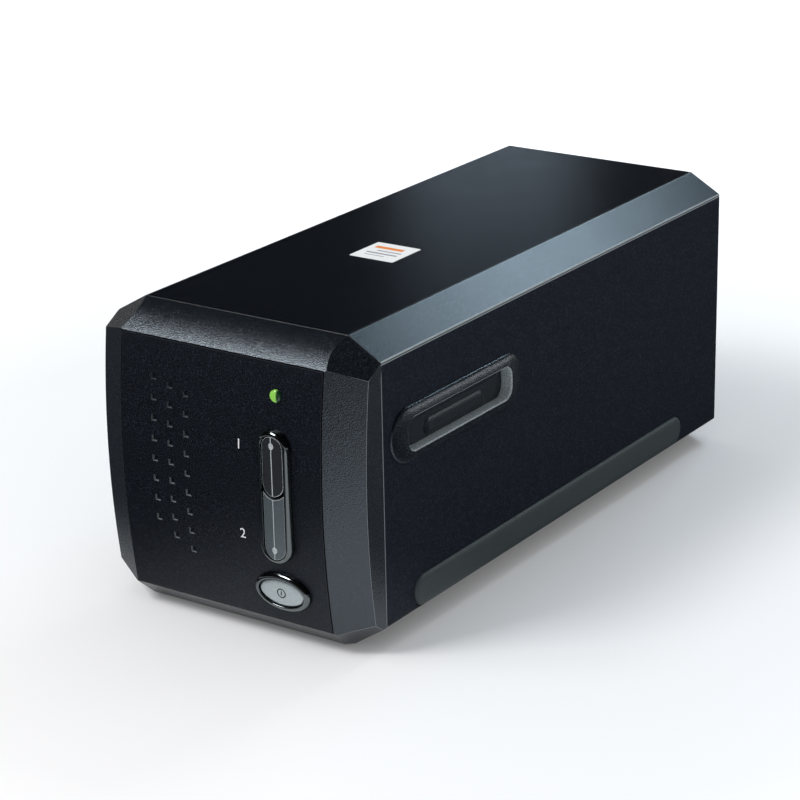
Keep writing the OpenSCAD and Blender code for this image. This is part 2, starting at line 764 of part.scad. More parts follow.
module power_jack() color([0.1, 0.1, 0.1]) difference() {
    block([-socket_x - jack_w / 2, rear_out_y - 14, board_top],
        [-socket_x + jack_w / 2, rear_out_y - 0.2, board_top + jack_h]);
    difference() {
        bar_y([-socket_x, rear_out_y - 11, board_top + 5.5], jack_d / 2, 12);
        bar_y([-socket_x, rear_out_y - 12, board_top + 5.5], 1, 7);
    }
}

module case_screws() color("dimgray") {
    both_sides() {
        for (y = [seam_y + case_screw[1], rear_y - case_screw[2]])
            translate([case_screw[0], y, foot_h + 3]) rotate([180, 0, 0])
                screw(screw_d, screw_l, screw_head_d, screw_head_t);
        for (p = [rear_low, rear_high])
            translate([p[0], rear_out_y - 1.2, p[1]]) rotate([-90, 0, 0])
                screw(screw_d, screw_l, screw_head_d, screw_head_t);
    }
}

// ---------- slot frames and flaps ----------

module rim_slab(x0, x1, l, h, r) along_x(x0, x1) translate([slot_y, slot_z]) rounded(l, h, r);

module slot_frame() difference() {
    union() {
        hull() {
            rim_slab(side_x, side_x + 0.2, rim_l, rim_h, rim_h / 2 - 0.01, $fn = 32);
            rim_slab(side_x + rim_proud * 0.6, side_x + rim_proud * 0.65, rim_l - 5, rim_h - 2.6,
                rim_h / 2 - 2, $fn = 32);
            rim_slab(side_x + rim_proud - 0.1, side_x + rim_proud, slot_l + 3.4, slot_h + 2.6,
                slot_corner + 1.2, $fn = 32);
        }
        along_x(neck_x, side_x + 0.1) translate([slot_y, slot_z]) neck_outline(0);
    }
    along_x(neck_x - 1, side_x + rim_proud + 1) translate([slot_y, slot_z])
        rounded(slot_l, slot_h, slot_corner);
    bar_y([flap_x, slot_y - pin_half, flap_z], flap_pin_d / 2 + 0.01, 2 * pin_half);
}

// Rib on the tunnel's floor that stops a flap on its outer or inner side
module stop_rib(x) block([x - 0.5, slot_y - 20, slot_floor - 0.3], [x + 0.5, slot_y + 20, slot_floor + 0.5]);

module slot_frame_right() color([0.08, 0.09, 0.1]) {
    slot_frame();
    stop_rib(flap_x + flap_t / 2 + 0.7);
}
module slot_frame_left() color([0.08, 0.09, 0.1]) mirror([1, 0, 0]) {
    slot_frame();
    stop_rib(flap_x - flap_t / 2 - 0.7);
}

module dust_flap() difference() {
    union() {
        along_x(flap_x - flap_t / 2, flap_x + flap_t / 2) translate([slot_y, slot_z - flap_gap])
            intersection() {
                translate([-slot_l / 2, -slot_h]) square([slot_l, slot_h + flap_z - slot_z + flap_gap]);
                translate([0, flap_gap]) rounded(slot_l - 2 * flap_end_gap, slot_h - 2 * flap_gap,
                    slot_corner - flap_gap);
            }
        // raised pad on the outer face
        along_x(flap_x, flap_x + flap_t / 2 + 0.9) translate([slot_y, slot_z - 2.2]) stadium(40, 7);
        bar_y([flap_x, slot_y - barrel_half, flap_z], barrel_d / 2, 2 * barrel_half);
    }
    bar_y([flap_x, slot_y - slot_l, flap_z], flap_pin_d / 2 + 0.03, 2 * slot_l);
    // the plate is cut back where the pin is bare and where the spring sits
    for (s = [-1, 1]) translate([flap_x, slot_y + s * (barrel_half + 5), flap_z + 1])
        cube([6, 10, 6.4], center = true);
}
module dust_flap_right() color([0.06, 0.065, 0.07]) dust_flap();
module dust_flap_left() color([0.06, 0.065, 0.07]) mirror([1, 0, 0]) dust_flap();

module flap_pins() color("silver") both_sides()
    bar_y([flap_x, slot_y - pin_half + 0.1, flap_z], flap_pin_d / 2, 2 * pin_half - 0.2);

module flap_springs() color("silver") both_sides()
    translate([flap_x, slot_y - barrel_half - flap_spring_l - 0.1, flap_z]) rotate([-90, 0, 0])
        coil(flap_pin_d / 2 + 0.4, 0.25, flap_spring_l, 4);

module film_track() color([0.12, 0.12, 0.13]) difference() {
    block([-neck_x, slot_y - slot_l / 2 - rail_t, slot_floor - track_t],
        [neck_x, slot_y + slot_l / 2 + rail_t, slot_floor + rail_h]);
    block([-neck_x - 1, slot_y - slot_l / 2, slot_floor],
        [neck_x + 1, slot_y + slot_l / 2, slot_floor + rail_h + 1]);
    block([-aperture[0] / 2, slot_y - aperture[1] / 2, slot_floor - 5],
        [aperture[0] / 2, slot_y + aperture[1] / 2, slot_floor + 5]);
}

module side_strip() along_x(side_x - pocket, side_x + strip_proud) strip_outline(0);
module side_strip_right() color([0.16, 0.18, 0.18]) side_strip();
module side_strip_left() color([0.16, 0.18, 0.18]) mirror([1, 0, 0]) side_strip();

module rubber_feet() color([0.1, 0.1, 0.1]) both_sides()
    for (y = [seam_y + foot_at[1], rear_y - foot_at[2]])
        translate([foot_at[0], y, 0]) cylinder(d = foot_d, h = foot_h + pocket);

module top_label() color([0.95, 0.95, 0.95])
    translate([-label_side / 2, seam_y + label_back - label_side / 2, casing_top - 0.15])
        cube([label_side, label_side, 0.2]);

// ---------- chassis ----------

module chassis_plate() color("gainsboro") difference() {
    block([-chassis_half_w, chassis_y0, chassis_z], [chassis_half_w, chassis_y1, chassis_top]);
    both_sides() for (y = [seam_y + case_screw[1], rear_y - case_screw[2]])
        translate([case_screw[0], y, 0]) cylinder(r = screw_d / 2 + pilot, h = 30);
}

module rod_bracket(y0, foot_y0) difference() {
    union() {
        block([-rod_x - 6, y0, chassis_top], [rod_x + 6, y0 + 2, rod_z + 8]);
        block([-rod_x - 6, foot_y0, chassis_top], [rod_x + 6, foot_y0 + 8, chassis_top + sheet]);
    }
    for (s = [-1, 1]) bar_y([s * rod_x, y0 - 1, rod_z], rod_d / 2 + 0.01, 4);
}
module rod_brackets() color("silver") {
    rod_bracket(rod_y0 - 2, rod_y0 - 2);
    rod_bracket(rod_y1, rod_y1);
}

module guide_rods() color("silver") both_sides()
    bar_y([rod_x, rod_y0 - rod_end - 1, rod_z], rod_d / 2, rod_span + 2 * rod_end + 2);

module track_brackets() color("silver") both_sides() {
    for (y = [slot_y - 26, slot_y + 12]) {
        block([leg_x - sheet, y, chassis_top], [leg_x, y + 14, slot_floor - track_t]);
        block([carriage_half_w + 2.5, y, slot_floor - track_t - sheet],
            [leg_x, y + 14, slot_floor - track_t]);
    }
    block([leg_x - sheet, slot_y - 26, chassis_top], [leg_x, slot_y + 26, chassis_top + 16]);
}

// ---------- carriage ----------

module at_mirror() translate([0, home_y, optic_z]) rotate([-45, 0, 0]) children();

module carriage_base() color([0.15, 0.15, 0.17]) difference() {
    back = optic_z - mirror_bed / sqrt(2);
    reach = mirror_w / 2 / sqrt(2);
    union() {
        block([-carriage_half_w, base_y0, base_floor], [carriage_half_w, base_y1, base_floor + base_t]);
        both_sides() {
            block([carriage_half_w - 3, base_y0, base_floor], [carriage_half_w, base_y1, base_top]);
            // wedge that carries one end of the mirror
            along_x(mirror_l / 2 - 9, mirror_l / 2 - 1) polygon([
                [home_y - mirror_bed / sqrt(2) - reach, back + reach],
                [home_y - mirror_bed / sqrt(2) + reach, back - reach],
                [home_y - mirror_bed / sqrt(2) + reach, base_floor + 1],
                [home_y - mirror_bed / sqrt(2) - reach, base_floor + 1]]);
        }
        // rear wall behind the sensor
        block([-carriage_half_w, ccd_y - 3, base_floor], [carriage_half_w, ccd_y, base_top]);
        // saddle under the lens
        block([-16, lens_y + 4, base_floor + 1], [16, lens_y + lens_l - 4, optic_z - 5]);
        // bush housings on the left rod
        for (y = [base_y0 + 2, ccd_y - 3 - bush_l]) {
            block([-carriage_half_w + 1, y, base_floor + 1], [-rod_x + 6, y + bush_l, rod_z + 6]);
        }
        // fork on the right rod
        block([rod_x - 6, home_y + 50, base_floor + 1], [carriage_half_w - 1, home_y + 62, rod_z + 6]);
        // flag for the home sensor
        block([carriage_half_w - 1, ccd_y - 10, base_floor + 8],
            [carriage_half_w + 6, ccd_y - 2, base_floor + 10]);
        block([carriage_half_w + 5, ccd_y - 10, base_floor + 2],
            [carriage_half_w + 6, ccd_y - 2, base_floor + 10]);
        // lower jaw of the belt clamp
        block([belt_x - belt_w / 2 - 1, home_y + 70, drive_z + belt_r - 3.3],
            [-carriage_half_w + 1, home_y + 82, drive_z + belt_r - 0.3]);
        // upper jaw
        block([belt_x - belt_w / 2 - 1, home_y + 70, drive_z + belt_r + belt_t + 0.3],
            [-carriage_half_w + 1, home_y + 82, drive_z + belt_r + belt_t + 2.8]);
    }
    bar_y([0, lens_y, optic_z], lens_d / 2 + 0.02, lens_l);
    block([-26, ccd_y - 4, optic_z - 7], [26, ccd_y + 1, optic_z + 7]);
    // the rods pass through housings, fork and walls
    for (s = [-1, 1]) bar_y([s * rod_x, base_y0 - 1, rod_z], rod_d / 2 + bush_wall, base_y1 - base_y0 + 2);
    // strap screws
    for (s = [-1, 1]) translate([s * 14.6, lens_y + lens_l / 2, optic_z - 13]) cylinder(d = 1.8, h = 10);
}

module carriage_bushes() color([0.7, 0.5, 0.25]) {
    for (y = [base_y0 + 2, ccd_y - 3 - bush_l])
        difference() {
            bar_y([-rod_x, y, rod_z], rod_d / 2 + bush_wall, bush_l);
            bar_y([-rod_x, y - 1, rod_z], rod_d / 2 + rod_fit, bush_l + 2);
        }
    // pads above and below the right rod, free sideways
    difference() {
        bar_y([rod_x, home_y + 50, rod_z], rod_d / 2 + bush_wall, 12);
        block([rod_x - rod_d, home_y + 49, rod_z - rod_d / 2 - 2 * rod_fit],
            [rod_x + rod_d, home_y + 63, rod_z + rod_d / 2 + 2 * rod_fit]);
    }
}

module lamp_arm() color([0.14, 0.14, 0.15]) {
    both_sides() {
        block([carriage_half_w - arm_w, post_y0, base_top],
            [carriage_half_w, post_y0 + post_d, arm_z + arm_t]);
        block([carriage_half_w - arm_w, home_y - lamp_half_y, arm_z],
            [carriage_half_w, post_y0 + post_d, arm_z + arm_t]);
    }
    block([-carriage_half_w, post_y0, arm_z], [carriage_half_w, post_y0 + post_d, arm_z + arm_t]);
}

lamp_half_x = carriage_half_w - arm_w;
module lamp_housing() color("silver") difference() {
    block([-lamp_half_x, home_y - lamp_half_y, lamp_z], [lamp_half_x, home_y + lamp_half_y, arm_z + arm_t]);
    block([-lamp_half_x + 2, home_y - lamp_half_y + 2, lamp_z - 1],
        [lamp_half_x - 2, home_y + lamp_half_y - 2, arm_z + arm_t - 2]);
}

module lamp_board() color([0.9, 0.9, 0.85]) {
    z1 = arm_z + arm_t - 2;
    block([-lamp_half_x + 3, home_y - lamp_half_y + 3, z1 - 1.2],
        [lamp_half_x - 3, home_y + lamp_half_y - 3, z1]);
    for (i = [0:8])
        translate([-24 + i * 6, home_y, z1 - 1.7]) cube([3, 3, 1.1], center = true);
}

module diffuser() color([0.95, 0.95, 0.95, 0.8])
    block([-lamp_half_x + 2, home_y - lamp_half_y + 2, lamp_z],
        [lamp_half_x - 2, home_y + lamp_half_y - 2, lamp_z + 2]);

module mirror_plate() color([0.8, 0.85, 0.9]) at_mirror()
    translate([-mirror_l / 2, -mirror_w / 2, -mirror_t]) cube([mirror_l, mirror_w, mirror_t]);

module mirror_clips() color("gold") at_mirror() for (s = [-1, 1]) translate([s * (mirror_l / 2 - 5), 0, 0]) {
    block([-2.5, -mirror_w / 2 - 0.5, -3], [2.5, -mirror_w / 2, 0.5]);
    block([-2.5, -mirror_w / 2 - 0.5, 0], [2.5, -mirror_w / 2 + 4, 0.5]);
    block([-2.5, mirror_w / 2, -3], [2.5, mirror_w / 2 + 0.5, 0.5]);
    block([-2.5, mirror_w / 2 - 4, 0], [2.5, mirror_w / 2 + 0.5, 0.5]);
}

module lens_barrel() color([0.12, 0.12, 0.13]) difference() {
    union() {
        bar_y([0, lens_y, optic_z], lens_d / 2, lens_l);
        bar_y([0, lens_y - 4, optic_z], lens_d / 2 - 2.5, 4 + eps);
    }
    bar_y([0, lens_y - 5, optic_z], 8.5, 4);
    bar_y([0, lens_y - 5, optic_z], 6, lens_l + 10);
    bar_y([0, lens_y + lens_l - 3, optic_z], 8.5, 4);
}

// Lens element, flat at 0 and domed towards +Z
module lens_element() rotate_extrude() intersection() {
    square([8.45, 2.5]);
    translate([0, -12.5]) circle(15, $fn = 96);
}

module lens_glass() color([0.6, 0.75, 0.8, 0.5]) {
    translate([0, lens_y - 1, optic_z]) rotate([90, 0, 0]) lens_element();
    translate([0, lens_y + lens_l - 3, optic_z]) rotate([-90, 0, 0]) lens_element();
}

module lens_strap() color("silver") difference() {
    y0 = lens_y + lens_l / 2 - 4;
    union() {
        bar_y([0, y0, optic_z], lens_d / 2 + strap_t, 8);
        block([-17, y0, optic_z - 5], [17, y0 + 8, optic_z - 5 + strap_t]);
        for (s = [-1, 1]) translate([s * 14.6, y0 + 4, optic_z - 5 - 6]) cylinder(d = 1.7, h = 7);
        for (s = [-1, 1]) translate([s * 14.6, y0 + 4, optic_z - 5 + strap_t - eps]) cylinder(d = 3, h = 1.2);
    }
    bar_y([0, y0 - 1, optic_z], lens_d / 2 + 0.05, 10);
    block([-lens_d / 2 - 0.3, y0 - 1, 0], [lens_d / 2 + 0.3, y0 + 9, optic_z - 5]);
    block([-40, y0 - 1, 0], [-17, y0 + 9, optic_z]);
    block([-12, y0 - 1, 0], [12, y0 + 9, optic_z]);
    block([17, y0 - 1, 0], [40, y0 + 9, optic_z]);
}

module ccd_board() color([0.05, 0.3, 0.15]) {
    block([-ccd_half_w, ccd_y, base_floor + 5], [ccd_half_w, ccd_y + board_t, base_top + 3]);
    block([-12, ccd_y + board_t, base_top - 5], [12, ccd_y + board_t + 3, base_top]);
}

module ccd_sensor() color([0.25, 0.25, 0.27])
    block([-24, ccd_y - 3.5, optic_z - 5], [24, ccd_y, optic_z + 5]);

// ---------- drive ----------

module drive_plate() color("silver") difference() {
    union() {
        block([plate_x - sheet, gear_y - 10, chassis_top], [plate_x, motor_y + 12, drive_z + 14]);
        block([plate_x - 12, gear_y - 10, chassis_top], [plate_x, motor_y + 12, chassis_top + sheet]);
        bar_x([gear_x - gear_t - 1.5, gear_y, drive_z], axle_d / 2, plate_x - gear_x + gear_t + 1);
    }
    bar_x([plate_x - 5, motor_y, drive_z], 4.2, 10);
}

module idler_bracket() color("silver") {
    block([plate_x - sheet, idler_y - 10, chassis_top], [plate_x, idler_y + 8, drive_z + 6]);
    block([plate_x - 8, idler_y - 10, chassis_top], [plate_x, idler_y + 8, chassis_top + sheet]);
    bar_x([belt_x - groove / 2 - flange_t - 1.2, idler_y, drive_z], axle_d / 2,
        plate_x - belt_x + groove / 2 + flange_t + 1);
}

module motor() color("silver") difference() {
    union() {
        bar_x([plate_x, motor_y, drive_z], motor_d / 2, motor_l);
        bar_x([plate_x - sheet, motor_y, drive_z], 4, sheet + 1);
        for (s = [-1, 1]) translate([plate_x, motor_y, drive_z + s * (motor_d / 2 - 1)])
            block([0, -3, s > 0 ? 0 : -2.5], [1, 3, s > 0 ? 2.5 : 0]);
    }
    bar_x([plate_x - sheet - 1, motor_y, drive_z], shaft_d / 2 + 0.03, motor_l - 1);
}

// Pinion in mesh with the gear behind it: a gap of the pinion faces a tooth of the gear
module motor_pinion() color("goldenrod") {
    bar_x([gear_x - gear_t - 0.5, motor_y, drive_z], shaft_d / 2, plate_x - gear_x + gear_t + 14);
    translate([0, motor_y, drive_z]) along_x(gear_x - gear_t, gear_x)
        rotate(180 + 180 / pinion_teeth) gear_outline(gear_module, pinion_teeth);
}

module pulley(x) {
    for (s = [-1, 1]) bar_x([x + s * (groove / 2 + flange_t / 2) - flange_t / 2, 0, 0],
        belt_r + belt_t + 1, flange_t);
    bar_x([x - groove / 2 - eps, 0, 0], belt_r - 0.3, groove + 2 * eps);
}

module drive_gear() color([0.85, 0.85, 0.8]) translate([0, gear_y, drive_z]) difference() {
    union() {
        along_x(gear_x - gear_t, gear_x) gear_outline(gear_module, gear_teeth);
        pulley(belt_x);
        bar_x([gear_x - eps, 0, 0], belt_r, belt_x - groove / 2 - flange_t - gear_x + 2 * eps);
    }
    bar_x([gear_x - gear_t - 1, 0, 0], axle_d / 2 + axle_gap, 30);
}

module idler_pulley() color([0.85, 0.85, 0.8]) translate([0, idler_y, drive_z]) difference() {
    pulley(belt_x);
    bar_x([belt_x - 10, 0, 0], axle_d / 2 + axle_gap, 30);
}

module drive_belt() color([0.08, 0.08, 0.08]) along_x(belt_x - belt_w / 2, belt_x + belt_w / 2)
    translate([(gear_y + idler_y) / 2, drive_z]) difference() {
        stadium(gear_y - idler_y + 2 * (belt_r + belt_t), 2 * (belt_r + belt_t));
        stadium(gear_y - idler_y + 2 * belt_r, 2 * belt_r);
    }

// ---------- boards ----------

module main_board() color([0.05, 0.3, 0.15]) difference() {
    block([-main_board_half, main_board_y0, main_board_z], [main_board_half, main_board_y1, board_top]);
    both_sides() for (y = main_screw_y)
        translate([main_screw_x, y, main_board_z - 1]) cylinder(d = main_hole_d, h = board_t + 2);
}

module board_components() color([0.1, 0.1, 0.11])
translate([0, (main_board_y0 + main_board_y1) / 2, board_top]) {
    translate([-chip[0] / 2, -chip[1] / 2, 0]) cube(chip);
    for (x = memory_x) translate([x, -12, 0]) cube(memory_chip);
    for (x = capacitor_x) translate([x, capacitor_d, 0]) cylinder(d = capacitor_d, h = capacitor_h);
    translate([-44, -26, 0]) cube(coil_box);
    translate([header_box[0] / 2, 20, 0]) cube(header_box);
}

module board_screws() color("silver") {
    for (s = [-1, 1], z = boss_z) translate([control_x + s * boss_x, front_y + front_board_y + board_t, z])
        rotate([-90, 0, 0]) screw(1.8, 6, 3.6, 1.2);
    both_sides() for (y = main_screw_y)
        translate([main_screw_x, y, board_top]) screw(2, 3.8, 4, 1.4);
}

module home_sensor() color([0.1, 0.1, 0.1]) difference() {
    block([carriage_half_w + 1.5, ccd_y - 12, chassis_top],
        [carriage_half_w + 9.5, ccd_y, base_floor + 7]);
    block([carriage_half_w + 3.5, ccd_y - 13, base_floor], [carriage_half_w + 7.5, ccd_y + 1, base_floor + 8]);
}

// Flat cable from the sensor board up to the underside of the main board
module flat_cable() color([0.85, 0.85, 0.8]) along_x(-9, 9) {
    y0 = ccd_y + board_t + 1;
    z0 = base_top + 0.05;
    polygon([[y0, z0], [y0 + 0.5, z0], [y0 + 0.5, main_board_z - 2.2], [y0 + 0.1, main_board_z - 1.6],
        [y0 - 24, main_board_z - 1.6], [y0 - 24, main_board_z - 0.05], [y0 - 24.5, main_board_z - 0.05],
        [y0 - 24.5, main_board_z - 2.1], [y0 - 0.2, main_board_z - 2.1], [y0, main_board_z - 2.5]]);
}

lower_case();
top_cover();
bezel_frame();
front_panel();
rear_panel();
slot_frame_right();
slot_frame_left();
dust_flap_right();
dust_flap_left();
flap_pins();
flap_springs();
side_strip_right();
side_strip_left();
rubber_feet();
case_screws();
top_label();
button_frame();
upper_button();
lower_button();
upper_button_spring();
lower_button_spring();
power_ring();
power_button();
power_button_spring();
status_lens();
front_board();
key_switches();
status_led();
board_screws();
chassis_plate();
rod_brackets();
guide_rods();
track_brackets();
film_track();
carriage_base();
carriage_bushes();
lamp_arm();
lamp_housing();
lamp_board();
diffuser();
mirror_plate();  // mirror
mirror_clips();
lens_barrel();
lens_glass();
lens_strap();
ccd_board();
ccd_sensor();
drive_plate();
idler_bracket();
motor();
motor_pinion();
drive_gear();
idler_pulley();
drive_belt();
main_board();
board_components();
usb_socket();
power_jack();
home_sensor();
flat_cable();
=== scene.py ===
# %% [markdown]
# # A film negative scanner, dressed
# The construction of this machine is finished before this script starts: every piece is in the frame at its
# real size. What is left is how it looks. The black shells are moulded with a fine grain and have rounded
# edges that catch the light, the button frame is plated, and the buttons are painted. The visible shells
# are modelled again here with soft edges, and the pieces inside keep their shape and only get a finish.

# %% Load the frame
import math
from contextlib import contextmanager

import bmesh
import bpy
from mathutils import Matrix, Vector


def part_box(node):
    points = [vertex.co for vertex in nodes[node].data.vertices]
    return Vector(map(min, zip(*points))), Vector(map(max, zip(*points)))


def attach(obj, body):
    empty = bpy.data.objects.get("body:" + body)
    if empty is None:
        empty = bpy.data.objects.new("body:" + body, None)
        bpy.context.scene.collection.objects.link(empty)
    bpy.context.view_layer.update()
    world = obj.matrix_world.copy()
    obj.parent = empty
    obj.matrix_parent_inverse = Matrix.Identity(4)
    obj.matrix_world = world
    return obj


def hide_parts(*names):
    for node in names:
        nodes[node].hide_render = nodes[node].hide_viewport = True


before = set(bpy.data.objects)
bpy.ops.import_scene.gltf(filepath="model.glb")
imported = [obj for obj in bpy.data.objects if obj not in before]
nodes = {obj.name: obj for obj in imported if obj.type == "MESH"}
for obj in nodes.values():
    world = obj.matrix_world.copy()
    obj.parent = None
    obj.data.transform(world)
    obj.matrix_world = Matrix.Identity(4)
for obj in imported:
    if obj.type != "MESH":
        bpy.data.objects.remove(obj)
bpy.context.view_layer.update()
print("nodes in the frame:", len(nodes))

# %% [markdown]
# ## The main places
# All lengths are in metres, so `mm` turns a size in millimetres into one. The outer planes come from the
# frame, so a piece made here ends where the shell that it stands for ends.

# %% Main places, from the frame
mm = 0.001
case_low, case_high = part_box("lower_case")
SIDE = case_high.x
SEAM = case_low.y
REAR = case_high.y
FOOT = case_low.z
COVER = case_high.z
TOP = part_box("top_cover")[1].z
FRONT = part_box("front_panel")[0].y
print("casing in mm:", [round(v / mm, 1) for v in (2 * SIDE, REAR - FRONT, TOP)])

# %% Sizes that the shells share
WALL = 2.2 * mm
CHAMFER_RUN = 13.8 * mm  # the top slants: how far in along the top, and how far down the side
CHAMFER_DROP = 7.9 * mm
BELLY_RUN = 11.9 * mm  # the same for the bottom slants
BELLY_RISE = 7.9 * mm
WINDOW_HALF = 45.5 * mm  # the window for the panel in the bezel
WINDOW_LOW = 8.9 * mm
WINDOW_HIGH = 109.5 * mm
BULGE_R = 336 * mm  # the bulging front is part of a cylinder with this radius, and this is its middle height
BULGE_Z = 62.2 * mm
BEVEL_DROP = 7.5 * mm  # how far the bezel falls back from the window to the sides
print("window in mm:", round(2 * WINDOW_HALF / mm, 1), "x", round((WINDOW_HIGH - WINDOW_LOW) / mm, 1))

# %% [markdown]
# ## Camera
# The camera looks down on the right front corner. A long lens from a metre away keeps the casing's long
# edges nearly parallel, as a product is usually shown, where a wide lens would make the near corner swell.
# The direction is worked out from two angles, and a small roll tilts the picture about the line of sight.

# %% Camera
AZIMUTH = math.radians(34.53)
ELEVATION = math.radians(19.99)
ROLL = math.radians(-1.2)
CAMERA_PLACE = (545.5 * mm, -811.9 * mm, 405.5 * mm)
SENSOR = 36
LENS = 116.15
back = Vector((math.sin(AZIMUTH) * math.cos(ELEVATION), -math.cos(AZIMUTH) * math.cos(ELEVATION),
               math.sin(ELEVATION)))
right = Vector((math.cos(AZIMUTH), math.sin(AZIMUTH), 0))
turn = Matrix.Rotation(ROLL, 3, back)
axes = Matrix((turn @ right, turn @ back.cross(right), back)).transposed()
bpy.ops.object.camera_add(location=CAMERA_PLACE, rotation=axes.to_euler())
camera = bpy.context.object
camera.data.sensor_width = SENSOR
camera.data.lens = LENS
camera.data.clip_start = 10 * mm
bpy.context.scene.camera = camera
bpy.context.scene.view_settings.view_transform = "Standard"
print("camera distance in mm:", round(Vector(CAMERA_PLACE).length / mm))

# %% [markdown]
# ## Small modelling helpers
# Every piece below is made as by hand: add a primitive, cut and extrude it, round its edges, and combine it
# with another. An operator acts on what is selected, so each helper first selects just its own object.

# %% Selecting, and editing one object
def activate(obj):
    """Selects obj alone and makes it the active object."""
    bpy.ops.object.select_all(action="DESELECT")
    obj.select_set(True)
    bpy.context.view_layer.objects.active = obj
    return obj


def settle(obj):
    """Moves the object's place, turn and scale into its mesh."""
    activate(obj)
    bpy.ops.object.transform_apply(location=True, rotation=True, scale=True)
    return obj


def new(kind, name, scale=(1, 1, 1), **settings):
    """Adds a mesh primitive with its place already in its mesh."""
    bpy.ops.object.select_all(action="DESELECT")
    getattr(bpy.ops.mesh, f"primitive_{kind}_add")(**settings)
    obj = bpy.context.object
    obj.name = obj.data.name = name
    obj.scale = scale
    return settle(obj)


@contextmanager
def editing(obj, mode="EDGE"):
    """Edit mode on obj for the length of a with block."""
    activate(obj)
    bpy.ops.object.mode_set(mode="EDIT")
    bpy.ops.mesh.select_mode(type=mode)
    yield
    bpy.ops.object.mode_set(mode="OBJECT")


def pick(obj, kind, test):
    """In edit mode, selects only the verts, edges or faces that pass the test."""
    bpy.ops.mesh.select_all(action="DESELECT")
    mesh = bmesh.from_edit_mesh(obj.data)
    for item in getattr(mesh, kind):
        if test(item):
            item.select_set(True)
    bmesh.update_edit_mesh(obj.data)


# %% Cutting, rounding and combining
def block(name, low, high):
    """A box between two corners."""
    low, high = Vector(low), Vector(high)
    return new("cube", name, size=1, location=(low + high) / 2, scale=high - low)


def rod(name, axis, centre, radius, length, vertices=48):
    """A round bar along X, Y or Z, about its centre."""
    turns = {"X": (0, math.pi / 2, 0), "Y": (math.pi / 2, 0, 0), "Z": (0, 0, 0)}
    return new("cylinder", name, vertices=vertices, radius=radius, depth=length, location=centre,
               rotation=turns[axis])


def cut_off(obj, point, normal):
    """Takes away what lies outside a plane, and closes the cut."""
    with editing(obj):
        bpy.ops.mesh.select_all(action="SELECT")
        bpy.ops.mesh.bisect(plane_co=point, plane_no=normal, use_fill=True, clear_outer=True,
                            threshold=0.001 * mm)


def modify(obj, kind, **settings):
    """Adds a modifier and applies it."""
    activate(obj)
    modifier = obj.modifiers.new(kind.title(), kind)
    for key, value in settings.items():
        setattr(modifier, key, value)
    bpy.ops.object.modifier_apply(modifier=modifier.name)
    return obj


def combine(obj, tool, operation="DIFFERENCE"):
    """Cuts the tool out of obj, keeps what both share or adds it, and throws the tool away."""
    modify(obj, "BOOLEAN", object=tool, operation=operation, solver="EXACT")
    bpy.data.objects.remove(tool)
    return obj


def two_slots(obj, second=lambda face: False):
    """Gives obj a second material slot, for the faces that pass the test and those that a bevel makes."""
    while len(obj.data.materials) < 2:
        obj.data.materials.append(None)
    for face in obj.data.polygons:
        face.material_index = int(face.material_index == 1 or second(face))
    return obj


def soften(obj, width, angle=25, segments=3, clamp=True):
    """Rounds every edge that is sharper than the angle. The new faces go in the second slot, for the edge
    finish.

    A clamped bevel is nowhere wider than the shortest edge allows. Without the clamp it keeps its width.
    """
    return modify(two_slots(obj), "BEVEL", width=width, segments=segments, limit_method="ANGLE",
                  angle_limit=math.radians(angle), miter_outer="MITER_ARC", material=1,
                  use_clamp_overlap=clamp)


def bevel(obj, width, segments, test):
    """Rounds only the edges that pass the test."""
    with editing(two_slots(obj)):
        pick(obj, "edges", test)
        bpy.ops.mesh.bevel(offset=width, segments=segments, affect="EDGES", material=1)


def merge(obj, distance):
    """Merges points that lie closer than the distance, so that no short edge narrows a bevel."""
    with editing(obj, "VERT"):
        bpy.ops.mesh.select_all(action="SELECT")
        bpy.ops.mesh.remove_doubles(threshold=distance)
        bpy.ops.mesh.dissolve_limited(angle_limit=math.radians(0.2))
    return obj


def join(pieces):
    """Makes one object of several."""
    activate(pieces[0])
    for piece in pieces[1:]:
        piece.select_set(True)
    bpy.ops.object.join()
    return pieces[0]


def copy(obj, name, offset=(0, 0, 0), mirrored=False):
    """A copy with its own mesh, moved, or mirrored to the other side."""
    twin = obj.copy()
    twin.data = obj.data.copy()
    twin.name = twin.data.name = name
    bpy.context.scene.collection.objects.link(twin)
    twin.location = offset
    if mirrored:
        twin.scale.x = -1
    settle(twin)
    if mirrored:
        with editing(twin, "FACE"):
            bpy.ops.mesh.select_all(action="SELECT")
            bpy.ops.mesh.normals_make_consistent(inside=False)
    return twin


# %% [markdown]
# ## Outlines and lofts
# Rims, buttons and pads are all outlines with round corners that change size as they rise. An outline is a
# plane whose corners are bevelled and whose face is taken away. A loft bridges a row of such outlines, so
# its profile can be as round as it needs to be, which a plain bevel of a block can't give.

# %% Outlines
FACINGS = {"X": Matrix(((0, 0, 1), (1, 0, 0), (0, 1, 0))),
           "Y": Matrix(((1, 0, 0), (0, 0, 1), (0, 1, 0))),
           "Z": Matrix.Identity(3)}


def outline(facing, centre, size, radius=None, steps=10):
    """A rectangle with round corners, as a loop of edges, or an oval where no radius is given."""
    if radius is None:
        ring = new("circle", "outline", vertices=4 * (steps + 1), radius=0.5, scale=(*size, 1))
    else:
        ring = new("plane", "outline", size=1, scale=(*size, 1))
        with editing(ring, "VERT"):
            bpy.ops.mesh.select_all(action="SELECT")
            bpy.ops.mesh.bevel(offset=radius, segments=steps, affect="VERTICES")
            bpy.ops.mesh.select_all(action="SELECT")
            bpy.ops.mesh.delete(type="ONLY_FACE")
    ring.matrix_world = Matrix.Translation(centre) @ FACINGS[facing].to_4x4()
    return settle(ring)


